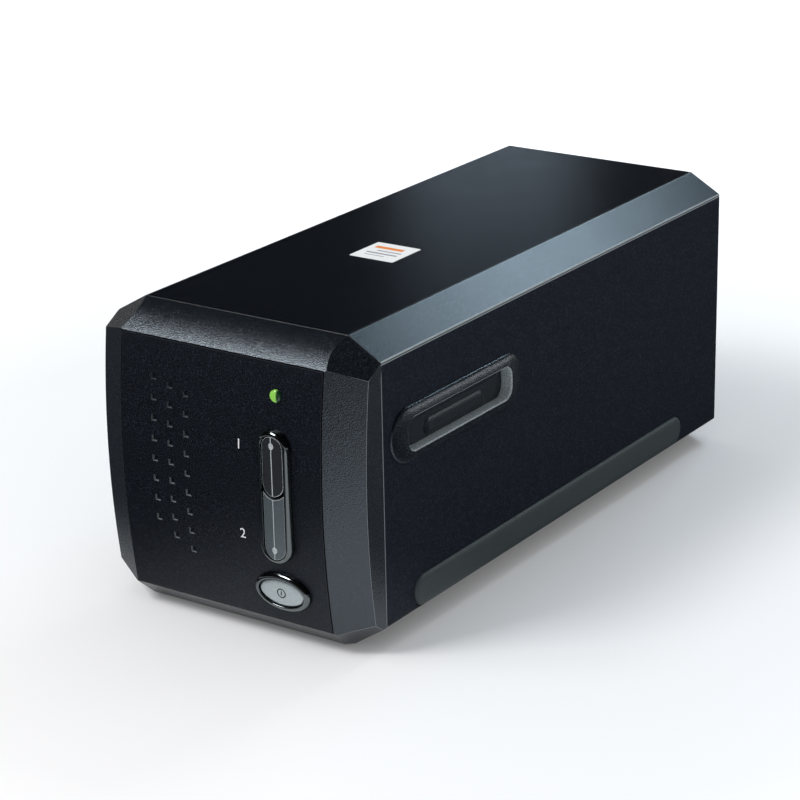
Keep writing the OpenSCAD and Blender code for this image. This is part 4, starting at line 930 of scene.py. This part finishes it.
# %% Feet
first = rod("foot", "Z", (0, 0, feet_high.z / 2), FOOT_R, feet_high.z, 64)
bevel(first, 0.5 * mm, 3, lambda edge: all(vert.co.z < 0.01 * mm for vert in edge.verts))
for number, place in enumerate(foot_places):
    foot = copy(first, f"foot_{number + 1}", place)
    complete(foot, foot_rubber, "casing", "foot_rubber", *(["rubber_feet"] if number == 0 else []))
bpy.data.objects.remove(first)

# %% [markdown]
# ## Button frame and buttons
# The plated pieces mirror their surroundings, so their finish is a dark metal with a faint haze. The
# buttons are painted with fine metal flakes: a very fine noise makes some flakes paler than others. The
# edges, ridges and dents of the buttons have a pale finish of their own, a painted highlight.

# %% Plated and painted finishes
def plated(name, colour, roughness):
    """Smooth metal plating with a faint haze."""
    finish = Finish(name, colour, roughness, metallic=1.0)
    haze = finish.noise(6 * mm, 3)
    finish.set("Roughness", roughness + 0.05 * haze)
    return finish.material


def painted(name, colour, roughness, metallic):
    """Paint with fine metal flakes."""
    finish = Finish(name, colour, roughness, metallic=metallic)
    flakes = finish.noise(0.16 * mm, 1)
    finish.set("Base Color", finish.blend(finish.ramp(flakes, 0.4, 0.7), [0.8 * c for c in colour],
                                          [1.2 * c for c in colour]))
    finish.set("Roughness", roughness + 0.15 * (flakes - 0.5))
    finish.bump(flakes, 0.08, 0.03 * mm)
    return finish.material


black_chrome = plated("black chrome", (0.135, 0.15, 0.155), 0.07)
# Pale paint for the buttons' edges, ridges and dents: a painted highlight
painted_highlight_edge = painted("painted highlight edge", (0.46, 0.50, 0.52), 0.3, 0.3)
dark_satin = painted("dark satin paint", (0.036, 0.040, 0.046), 0.34, 0.6)
lower_satin = painted("lower satin paint", (0.17, 0.205, 0.225), 0.36, 0.75)
silver_satin = painted("silver satin paint", (0.44, 0.50, 0.52), 0.38, 0.75)

# %% [markdown]
# The capsule round the two buttons is moulded and plated in dark chrome. A bevelled block would have flanks
# that are too flat. So it is lofted: its profile rises steeply from the panel and rolls over a narrow crest
# into the well, and the plating shows a bright streak along each flank.

# %% Button frame
def capsule_ring(rise, size, trim):
    """The capsule's outline at a height over the front, with its sides drawn in by trim."""
    wide, high = smaller(size, 2 * trim * mm)
    return outline("Y", (CONTROL_X, FRONT - rise * mm, CAPSULE_Z), (wide, high), wide / 2 - HAIR, 16)


WELL = (9.7 * mm, 47.7 * mm)  # the opening for the two buttons
WELL_FLOOR = 6
rings = [capsule_ring(-WELL_FLOOR - 2, CAPSULE, 0.8), capsule_ring(-1.6, CAPSULE, 0.8),
         capsule_ring(-1.5, CAPSULE, 0)]
rings += [capsule_ring(rise, CAPSULE, trim) for rise, trim in
          ((0.6, 0.05), (1.2, 0.2), (1.7, 0.48), (2.1, 0.9), (2.33, 1.35), (2.4, 1.7))]
rings += [capsule_ring(rise, WELL, trim) for rise, trim in ((2.3, -0.12), (2.0, 0), (-WELL_FLOOR, 0))]
button_frame = loft("button_capsule", rings)
complete(button_frame, black_chrome, "casing", "black_chrome", "button_frame", smooth=50)

# %% [markdown]
# Both buttons share one ridged cap: a bar with round ends, cut by two slanted planes that meet in a ridge
# down the middle. The upper button keeps the part above the split and gets a round lower end. The lower one
# is hollowed to match it. Each has a small round dent near its outer end. The caps are hollow behind in the
# real machine and only a few millimetres deep here, so that their springs have room when they are pressed.

# %% Buttons
BUTTON_W = 9.2 * mm
BUTTON_HALF = 23.6 * mm
CAP_FRONT = 2 * mm
RIDGE = 0.3 * mm
RIDGE_Y = FRONT - CAP_FRONT - RIDGE
FALL = 1.2 * mm  # how far each half would fall back over the cap's full width
CAP_BACK = 3 * mm
SPLIT = 1.2 * mm
UPPER_END = CAPSULE_Z + 0.8 * mm + BUTTON_W / 2
DENT_R = 1.35 * mm
DENT_INSET = 3.6 * mm


def button_cap(name):
    """The ridged cap at its full length."""
    cap = slab(name, "Y", FRONT - 5 * mm, FRONT + CAP_BACK, (CONTROL_X, 0, CAPSULE_Z),
               (BUTTON_W, 2 * BUTTON_HALF), BUTTON_W / 2 - HAIR, 16)
    for s in (-1, 1):
        cut_off(cap, (CONTROL_X, RIDGE_Y, CAPSULE_Z), Vector((s * FALL, -BUTTON_W, 0)))
    return cap


def round_bar(radius):
    """A round bar through the place where the buttons meet."""
    return rod("round end", "Y", (CONTROL_X, FRONT, UPPER_END), radius, 16 * mm, 96)


def dent(z):
    """A ball that presses a shallow round dent into a cap."""
    ball = new("uv_sphere", "dent", segments=32, ring_count=16, radius=2 * DENT_R,
               location=(CONTROL_X, RIDGE_Y - 1.72 * DENT_R, z))
    return two_slots(ball, lambda face: True)


# %% [markdown]
# The caps' edges get a narrow, unclamped bevel whose faces are painted pale, so that the ridge shows as a
# fine bright line, a painted highlight. The bevel pushes the ends of the ridge out a little, and a last cut
# brings them back to the ridge's plane. The dents are pressed in with a ball after that, since a bevel
# would round their rims away.

# %% Upper button
upper = button_cap("upper_button_cap")
keep = block("keep", (0, FRONT - 8 * mm, UPPER_END), (2 * CONTROL_X, FRONT + 8 * mm, TOP))
combine(keep, round_bar(BUTTON_W / 2), "UNION")
combine(upper, keep, "INTERSECT")
soften(upper, 0.22 * mm, 9, 2, clamp=False)
cut_off(upper, (0, RIDGE_Y, 0), (0, -1, 0))
combine(upper, dent(CAPSULE_Z + BUTTON_HALF - DENT_INSET))
complete(upper, dark_satin, "upper_button", "dark_satin", "upper_button", smooth=30, edges=painted_highlight_edge)

# %% Lower button
HORN = 2.6 * mm  # how far under the round bar's middle the two horns of the hollow end
lower = button_cap("lower_button_cap")
combine(lower, round_bar(BUTTON_W / 2 + SPLIT))
combine(lower, block("above", (0, FRONT - 8 * mm, UPPER_END - HORN), (2 * CONTROL_X, FRONT + 8 * mm, TOP)))
soften(merge(lower, 0.25 * mm), 0.17 * mm, 9, 2, clamp=False)
cut_off(lower, (0, RIDGE_Y, 0), (0, -1, 0))
combine(lower, dent(CAPSULE_Z - BUTTON_HALF + DENT_INSET))
complete(lower, lower_satin, "lower_button", "silver_satin", "lower_button", smooth=30, edges=painted_highlight_edge)

# %% [markdown]
# The power button is an oval cap in a plated oval ring. Both are lofted flat and then turned to sit square
# on the sloping part of the panel. The power mark is a ring with a tick, cut into the cap.

# %% Power ring and button
power_place = (Matrix.Translation((CONTROL_X, front_at(POWER_Z), POWER_Z))
               @ Matrix.Rotation(POWER_TILT, 4, "X"))


def oval_ring(rise, size, trim):
    """An oval at a height over the panel, drawn in by trim."""
    return outline("Y", (0, -rise * mm, 0), smaller(size, 2 * trim * mm), steps=23)


def seat_power(obj):
    """Turns a piece that was made round the origin into the power button's place."""
    obj.matrix_world = power_place
    return settle(obj)


POWER_WELL = (20.1 * mm, 11.1 * mm)
rings = [oval_ring(-7, POWER_RING, 0.95), oval_ring(-1.6, POWER_RING, 0.95), oval_ring(-1.5, POWER_RING, 0)]
rings += [oval_ring(rise, POWER_RING, trim) for rise, trim in
          ((0.5, 0.05), (1.1, 0.25), (1.6, 0.6), (1.92, 1.05), (2.06, 1.5), (2.1, 1.85))]
rings += [oval_ring(rise, POWER_WELL, trim) for rise, trim in ((2.0, -0.12), (1.7, 0), (-5, 0))]
power_ring = seat_power(loft("power_ring_oval", rings))
complete(power_ring, black_chrome, "casing", "black_chrome", "power_ring", smooth=50)

# %% Power button with its mark
rings = [oval_ring(rise, POWER_CAP, trim) for rise, trim in
         ((-2.6, 0), (0.9, 0), (1.3, 0.16), (1.5, 0.42), (1.62, 1.0), (1.7, 2.4))]
power_cap = two_slots(loft("power_button_cap", rings))
mark_place = (0, -1.7 * mm, 0)
mark = rod("mark ring", "Y", mark_place, 1.95 * mm, 0.7 * mm, 40)
combine(mark, rod("mark core", "Y", mark_place, 1.5 * mm, 2 * mm, 40))
for tool in (mark, block("mark tick", (-0.24 * mm, -2 * mm, -0.9 * mm), (0.24 * mm, -1.35 * mm, 0.9 * mm))):
    combine(power_cap, two_slots(tool, lambda face: True))
complete(seat_power(power_cap), silver_satin, "power_button", "silver_satin", "power_button", smooth=50)

# %% [markdown]
# ## Status light
# The light is a small domed lens of clear green plastic over a diode. The dome is flatter than half a
# sphere, so it is lofted from circles that shrink towards its top. Its glow is a weak emission over the
# left part of the dome. Over the right part the glow ends and the green is painted dark as well, a
# painted shade that gives the dome a dark crescent there.

# %% Status lens
lens_glow = Finish("light lens", (0.10, 0.22, 0.02), 0.12, emission_strength=1.0, coat_weight=0.6)
x_place = lens_glow.add("SeparateXYZ", (), {0: lens_glow.place}, 0)
lit = lens_glow.ramp(x_place, CONTROL_X + 1.1 * mm, CONTROL_X + 0.5 * mm)
lens_glow.set("Emission Color", lens_glow.blend(lit, (0.002, 0.012, 0.003), (0.09, 0.25, 0.03)))
# Base colour dark over the right part of the dome: painted shade
lens_glow.set("Base Color", lens_glow.blend(lit, (0.006, 0.02, 0.008), (0.15, 0.30, 0.05)))

lens_rings = [(-2.0, 0), (0.3, 0), (0.6, 0.15), (0.85, 0.45), (1.0, 0.9), (1.08, 1.5)]
lens = loft("status_light", [outline("Y", (CONTROL_X, front_at(LIGHT_Z) - rise * mm, LIGHT_Z),
                                     smaller((2 * LIGHT_R, 2 * LIGHT_R), 2 * trim * mm), steps=9)
                             for rise, trim in lens_rings])
complete(lens, lens_glow.material, "casing", "light_lens", "status_lens", smooth=60)

# %% [markdown]
# ## Label and marks
# The label is a thin film with plain print: an orange bar and a few grey lines. They are drawn by the
# material from the piece's own coordinates. The two buttons are marked with the plain numbers 1 and 2.

# %% Label
label_centre = (label_low + label_high) / 2
print_film = Finish("label film", (0.80, 0.80, 0.80), 0.35)
flat = print_film.add("VectorMath", {"operation": "SUBTRACT"}, {0: print_film.place, 1: label_centre})
across = print_film.add("SeparateXYZ", (), {0: flat}, 0)
along = print_film.add("SeparateXYZ", (), {0: flat}, 1)


def printed(x, y, wide, high):
    """1 inside a rectangle of the label, in millimetres from its centre."""
    return ((across - x * mm).size() < wide / 2 * mm) * ((along - y * mm).size() < high / 2 * mm)


grey_lines = printed(1.5, 0.6, 11, 1.0) + printed(0, -2.6, 14, 1.3) + printed(-1.5, -5.4, 9, 0.7)
paper = print_film.blend(grey_lines, (0.80, 0.80, 0.80), (0.28, 0.28, 0.30))
print_film.set("Base Color", print_film.blend(printed(-1.0, 4.6, 13, 2.6), paper, (0.78, 0.24, 0.05)))
label = slab("label", "Z", TOP - LABEL_SEAT, label_high.z, label_centre,
             (label_high.x - label_low.x, label_high.y - label_low.y), 0.8 * mm, 5)
complete(label, print_film.material, "casing", "label_film", "top_label")

# %% Numbers beside the buttons
white_ink = Finish("white ink", (0.62, 0.63, 0.65), 0.5).material
MARK_H = 5.4 * mm


def number_mark(text, x, z):
    """A printed number on the panel, a hair proud of its curve."""
    bpy.ops.object.text_add()
    mark = bpy.context.object
    mark.data.body = text
    mark.data.size = MARK_H
    mark.data.extrude = 0.03 * mm
    mark.data.align_x = "CENTER"
    mark.data.align_y = "CENTER"
    activate(mark)
    bpy.ops.object.convert(target="MESH")
    mark = bpy.context.object
    mark.name = mark.data.name = "number_" + text
    mark.location = (x, front_at(z) - 0.03 * mm, z)
    mark.rotation_euler = (math.pi / 2 - math.asin((z - BULGE_Z) / BULGE_R), 0, 0)
    return complete(settle(mark), white_ink, "casing", "label_film")


number_mark("1", 9 * mm, 76.4 * mm)
number_mark("2", 9 * mm, 41.6 * mm)

# %% [markdown]
# ## Back of the machine
# The rear panel is the eight-sided bar again, thin and drawn in by the wall. Openings are cut for the two
# sockets, the lock slot and the four screws, whose heads lie in round seats.

# %% Rear panel
rear_low, rear_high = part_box("rear_panel")
usb_low, usb_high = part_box("usb_socket")
jack_low, jack_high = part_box("power_jack")
OUT_Y = rear_high.y
SOCKET_GAP = 0.3 * mm
LOCK_PLACE = (16 * mm - SIDE, 0, 75 * mm)
LOCK_SLOT = (7 * mm, 3 * mm)
SCREW_IN = 6.1 * mm  # from the casing's outside to a screw
rear = casing_bar("rear_panel_plate", rear_low.y, OUT_Y, WALL + 0.25 * mm)
soften(rear, 0.35 * mm, 30, 2)
for low, high in ((usb_low, usb_high), (jack_low, jack_high)):
    combine(rear, block("socket hole", (low.x - SOCKET_GAP, rear_low.y - SPARE, low.z - SOCKET_GAP),
                        (high.x + SOCKET_GAP, OUT_Y + SPARE, high.z + SOCKET_GAP)))
combine(rear, slab("lock slot", "Y", rear_low.y - SPARE, OUT_Y + SPARE, LOCK_PLACE, LOCK_SLOT, 1.49 * mm))
for s in (-1, 1):
    for x, z in ((SIDE - SCREW_IN, 20 * mm), (40 * mm, TOP - SCREW_IN)):
        combine(rear, rod("screw seat", "Y", (s * x, OUT_Y, z), 3.0 * mm, 2.4 * mm, 32))
        combine(rear, rod("screw hole", "Y", (s * x, OUT_Y, z), 1.7 * mm, 20 * mm, 24))
complete(rear, rear_plastic, "casing", "rear_plastic", "rear_panel")

# %% [markdown]
# ## The pieces inside
# What is inside keeps its solid from the frame. Each gets a finish of its own: sheet steel with a fine
# brushed grain, ground rods, nylon gears, boards with a tint of copper tracks under their green lacquer.

# %% Finishes of the inner pieces
def metal(name, colour, roughness, stretch=(1, 1, 1)):
    """Bare metal, with brush marks along the axis whose stretch is small."""
    finish = Finish(name, colour, roughness, metallic=1.0)
    lengthened = finish.add("Mapping", (), {"Vector": finish.place, "Scale": stretch})
    marks = finish.add("TexNoise", (), {"Vector": lengthened, "Scale": 1800, "Detail": 2})
    finish.set("Roughness", roughness + 0.25 * (marks - 0.5))
    finish.bump(marks, 0.06, 0.02 * mm)
    return finish.material


def plastic(name, colour, roughness, grain=0.4 * mm, depth=0.12):
    """Plain plastic or rubber with a little unevenness."""
    finish = Finish(name, colour, roughness)
    lumps = finish.noise(grain, 2)
    finish.set("Base Color", finish.blend(lumps, [0.85 * c for c in colour], [1.15 * c for c in colour]))
    finish.set("Roughness", roughness + 0.12 * (lumps - 0.5))
    finish.bump(lumps, depth, 0.05 * mm)
    return finish.material


def board_lacquer(name, colour, copper):
    """Lacquer over copper tracks: noise that is stretched along Y and Z, and cut off sharply."""
    finish = Finish(name, colour, 0.3, coat_weight=0.5)
    squeezed = finish.add("Mapping", (), {"Vector": finish.place, "Scale": (1, 0.2, 0.2)})
    tracks = finish.add("TexNoise", (), {"Vector": squeezed, "Scale": 900, "Detail": 0})
    track = finish.ramp(tracks, 0.54, 0.57)
    finish.set("Base Color", finish.blend(track, colour, copper))
    finish.bump(track, 0.2, 0.03 * mm)
    return finish.material


def clear(name, colour, alpha, roughness=0.05):
    """Glass or clear plastic, as a thin see-through skin."""
    finish = Finish(name, colour, roughness, coat_weight=0.5)
    finish.set("Alpha", alpha)
    finish.set("Roughness", roughness + 0.03 * finish.noise(5 * mm))
    return finish.material


# %% [markdown]
# Each inner finish is listed with the pieces that it goes on, so a piece that is missing a finish is easy
# to find. Pieces that lie in the dark inside the closed casing get plain mixes of the four kinds above.

# %% Which inner piece gets which finish
INNER = {
    "sheet steel": (metal("sheet steel", (0.62, 0.63, 0.64), 0.34, (1, 0.08, 1)),
                    "chassis_plate rod_brackets track_brackets drive_plate idler_bracket lens_strap"),
    "rod steel": (metal("rod steel", (0.78, 0.78, 0.79), 0.14, (1, 6, 1)), "guide_rods"),
    "wire steel": (metal("wire steel", (0.6, 0.6, 0.6), 0.28),
                   "flap_pins flap_springs upper_button_spring lower_button_spring power_button_spring"),
    "screw steel": (metal("screw steel", (0.16, 0.16, 0.17), 0.36), "case_screws board_screws"),
    "socket metal": (metal("socket metal", (0.58, 0.58, 0.57), 0.3), "usb_socket"),
    "motor steel": (metal("motor steel", (0.5, 0.5, 0.5), 0.3, (0.08, 1, 1)), "motor"),
    "lamp metal": (metal("lamp metal", (0.75, 0.76, 0.77), 0.25, (0.08, 1, 1)), "lamp_housing"),
    "bush bronze": (metal("bush bronze", (0.55, 0.35, 0.15), 0.32),
                    "carriage_bushes motor_pinion mirror_clips"),
    "lens black": (metal("lens black", (0.03, 0.03, 0.032), 0.35), "lens_barrel"),
    "mirror silver": (metal("mirror silver", (0.85, 0.88, 0.9), 0.03), "mirror"),
    "inner black": (plastic("inner black", (0.02, 0.02, 0.022), 0.7),
                    "film_track carriage_base lamp_arm power_jack home_sensor"),
    "component black": (plastic("component black", (0.018, 0.018, 0.02), 0.5),
                        "key_switches board_components ccd_sensor"),
    "gear nylon": (plastic("gear nylon", (0.75, 0.75, 0.70), 0.45), "drive_gear idler_pulley"),
    "belt rubber": (plastic("belt rubber", (0.02, 0.02, 0.02), 0.75, 0.8 * mm, 0.4), "drive_belt"),
    "cable film": (plastic("cable film", (0.70, 0.70, 0.65), 0.4, 1.2 * mm), "flat_cable"),
    "diode resin": (plastic("diode resin", (0.80, 0.85, 0.60), 0.2), "status_led"),
    "board lacquer": (board_lacquer("board lacquer", (0.010, 0.09, 0.035), (0.02, 0.16, 0.05)),
                      "front_board main_board ccd_board"),
    "lamp board": (board_lacquer("lamp board", (0.78, 0.78, 0.74), (0.7, 0.7, 0.6)), "lamp_board"),
    "lens glass": (clear("lens glass", (0.6, 0.7, 0.75), 0.35), "lens_glass"),
    "opal diffuser": (clear("opal diffuser", (0.9, 0.9, 0.9), 0.8, 0.4), "diffuser"),
}
dressed = 0
for material, names in INNER.values():
    for name in names.split():
        dress(nodes[name], material)
        dressed += 1
print("inner pieces dressed:", dressed)

# %% [markdown]
# ## Floor
# The machine stands on a pale table without an end. A backdrop could curve up behind it, but a large plane
# is simpler: far from the machine its material glows up to plain white, so that no horizon shows, and near
# it the glow is faint, so that the floor keeps the shadow. Glossy black plastic mirrors such a table and
# turns grey. In a studio, black cloth is laid beside the object to prevent that. Here the floor is dark in
# reflections, apart from one strip in front of the machine that gives the bezel's lower slants their light.

# %% Floor
PALE = (0.82, 0.82, 0.83)
CLOTH = (0.03, 0.035, 0.043)
NEAR_GLOW, FAR_GLOW, CLOTH_GLOW = (0.09, 0.09, 0.09), (0.78, 0.78, 0.78), (0.004, 0.004, 0.005)
STRIP_TURN = math.radians(40)
floor = new("plane", "floor", size=16)
ground = Finish("floor", PALE, 0.35, specular_ior_level=0.35)
dusty = ground.noise(0.5, 3)
ground.set("Roughness", 0.32 + 0.08 * dusty)
distance = ground.add("VectorMath", {"operation": "LENGTH"}, {0: ground.place}, "Value")
far = ground.ramp(distance, 250 * mm, 900 * mm)
glow = ground.blend(far, NEAR_GLOW, FAR_GLOW)

# %% The strip that is not covered, and the finished floor
across_strip = ground.add("SeparateXYZ", (), {0: ground.place}, 0) * math.cos(STRIP_TURN)
across_strip = across_strip + ground.add("SeparateXYZ", (), {0: ground.place}, 1) * math.sin(STRIP_TURN)
covered = 1 - ground.ramp(across_strip, -165 * mm, -100 * mm) * ground.ramp(across_strip, 40 * mm, 0.0)
covered = ground.add("LightPath", output="Is Glossy Ray") * covered
ground.set("Base Color", ground.blend(covered, PALE, CLOTH))
ground.set("Emission Color", ground.blend(covered, glow, CLOTH_GLOW))
ground.set("Emission Strength", 1.0)
dress(floor, ground.material)
print("floor in m:", [round(v, 1) for v in floor.dimensions])

# %% [markdown]
# ## World
# The world is what the black plastic mirrors above the table: a pale band at the horizon that fades to
# almost black overhead. An even grey would be simpler, but it takes the depth out of the black. Dull
# surfaces get an even light from all round instead, and behind the machine the camera sees plain white.

# %% World
world = bpy.data.worlds.new("studio")
world.use_nodes = True
bpy.context.scene.world = world
sky = world.node_tree
shade = sky.nodes["Background"]


def sky_node(kind, inputs=(), output=0, **settings):
    """Adds a node to the world's tree and gives its output."""
    node = sky.nodes.new("ShaderNode" + kind)
    for key, value in settings.items():
        setattr(node, key, value)
    for key, value in dict(inputs).items():
        if isinstance(value, bpy.types.NodeSocket):
            sky.links.new(value, node.inputs[key])
        else:
            node.inputs[key].default_value = value
    return node.outputs[output]


AMBIENT = 0.62
DARK = 0.01
GLOW_TOP = 0.12  # how high the pale band reaches, as the sine of the angle above the horizon
direction = sky_node("TexCoord", output="Generated")
height = sky_node("SeparateXYZ", {0: direction}, "Z")
glow_band = sky_node("MapRange", {"Value": height, "From Min": 0.0, "From Max": GLOW_TOP, "To Min": 1.0,
                                  "To Max": DARK}, clamp=True)
path = sky.nodes.new("ShaderNodeLightPath").outputs
mirrored = sky_node("Math", {0: path["Is Glossy Ray"], 1: path["Is Transmission Ray"]}, operation="MAXIMUM")
strength = sky_node("Mix", {"Factor": mirrored, "A": AMBIENT, "B": glow_band})
strength = sky_node("Mix", {"Factor": path["Is Camera Ray"], "A": strength, "B": 1.0})
sky.links.new(strength, shade.inputs["Strength"])
shade.inputs["Color"].default_value = (1, 1, 1, 1)
print("world nodes:", len(sky.nodes))

# %% [markdown]
# ## Lamps
# Black plastic shows mostly what it mirrors, so each lamp is large and soft and stands where one face of
# the machine mirrors it. One low behind on the left puts a sheen on the top. One high behind lights the
# long slanted edge. The key light in front on the left, high up, gives the front bevels and the shadow. A
# small one beside it picks out the rolled brow, and one low behind on the right the rim of the film mouth.
# The first two are cool, the others white.

# %% Lamps
def lamp(name, place, target, size, power, colour=(1, 1, 1)):
    """A soft rectangular lamp that looks at a point."""
    away = Vector(place) - Vector(target)
    bpy.ops.object.light_add(type="AREA", location=place, rotation=away.to_track_quat("Z", "Y").to_euler())
    light = bpy.context.object
    light.name = name
    light.data.shape = "RECTANGLE"
    light.data.size, light.data.size_y = size
    light.data.energy = power
    light.data.color = colour
    print(f"{name}: {power} W")


def around(azimuth, elevation, distance, target):
    """A place that many degrees to the right of straight behind, and above level, as seen from the target."""
    turned, raised = math.radians(azimuth), math.radians(elevation)
    return Vector(target) + distance * Vector((math.sin(turned) * math.cos(raised),
                                               math.cos(turned) * math.cos(raised), math.sin(raised)))


MIDDLE = (0, 0, 0)
TOP_REAR = (0, 90 * mm, TOP)
SLANT_MIDDLE = (52 * mm, 0, 115 * mm)
MOUTH_MIDDLE = (RIM_X, SLOT_Y, SLOT_Z)
lamp("behind left", around(-33.3, 11.8, 1.3, TOP_REAR), TOP_REAR, (0.16, 0.10), 0.085, (0.66, 0.83, 1.0))
lamp("behind above", around(0, 35.5, 1.0, SLANT_MIDDLE), SLANT_MIDDLE, (0.36, 0.18), 3.0, (0.66, 0.86, 1.0))
lamp("key", around(-150, 48, 1.5, MIDDLE), MIDDLE, (0.45, 0.45), 11.0)
lamp("brow", around(-126, 52, 1.5, MIDDLE), MIDDLE, (0.25, 0.25), 2.2)
lamp("behind right", around(36, 9, 1.2, MOUTH_MIDDLE), MOUTH_MIDDLE, (0.35, 0.25), 1.0)
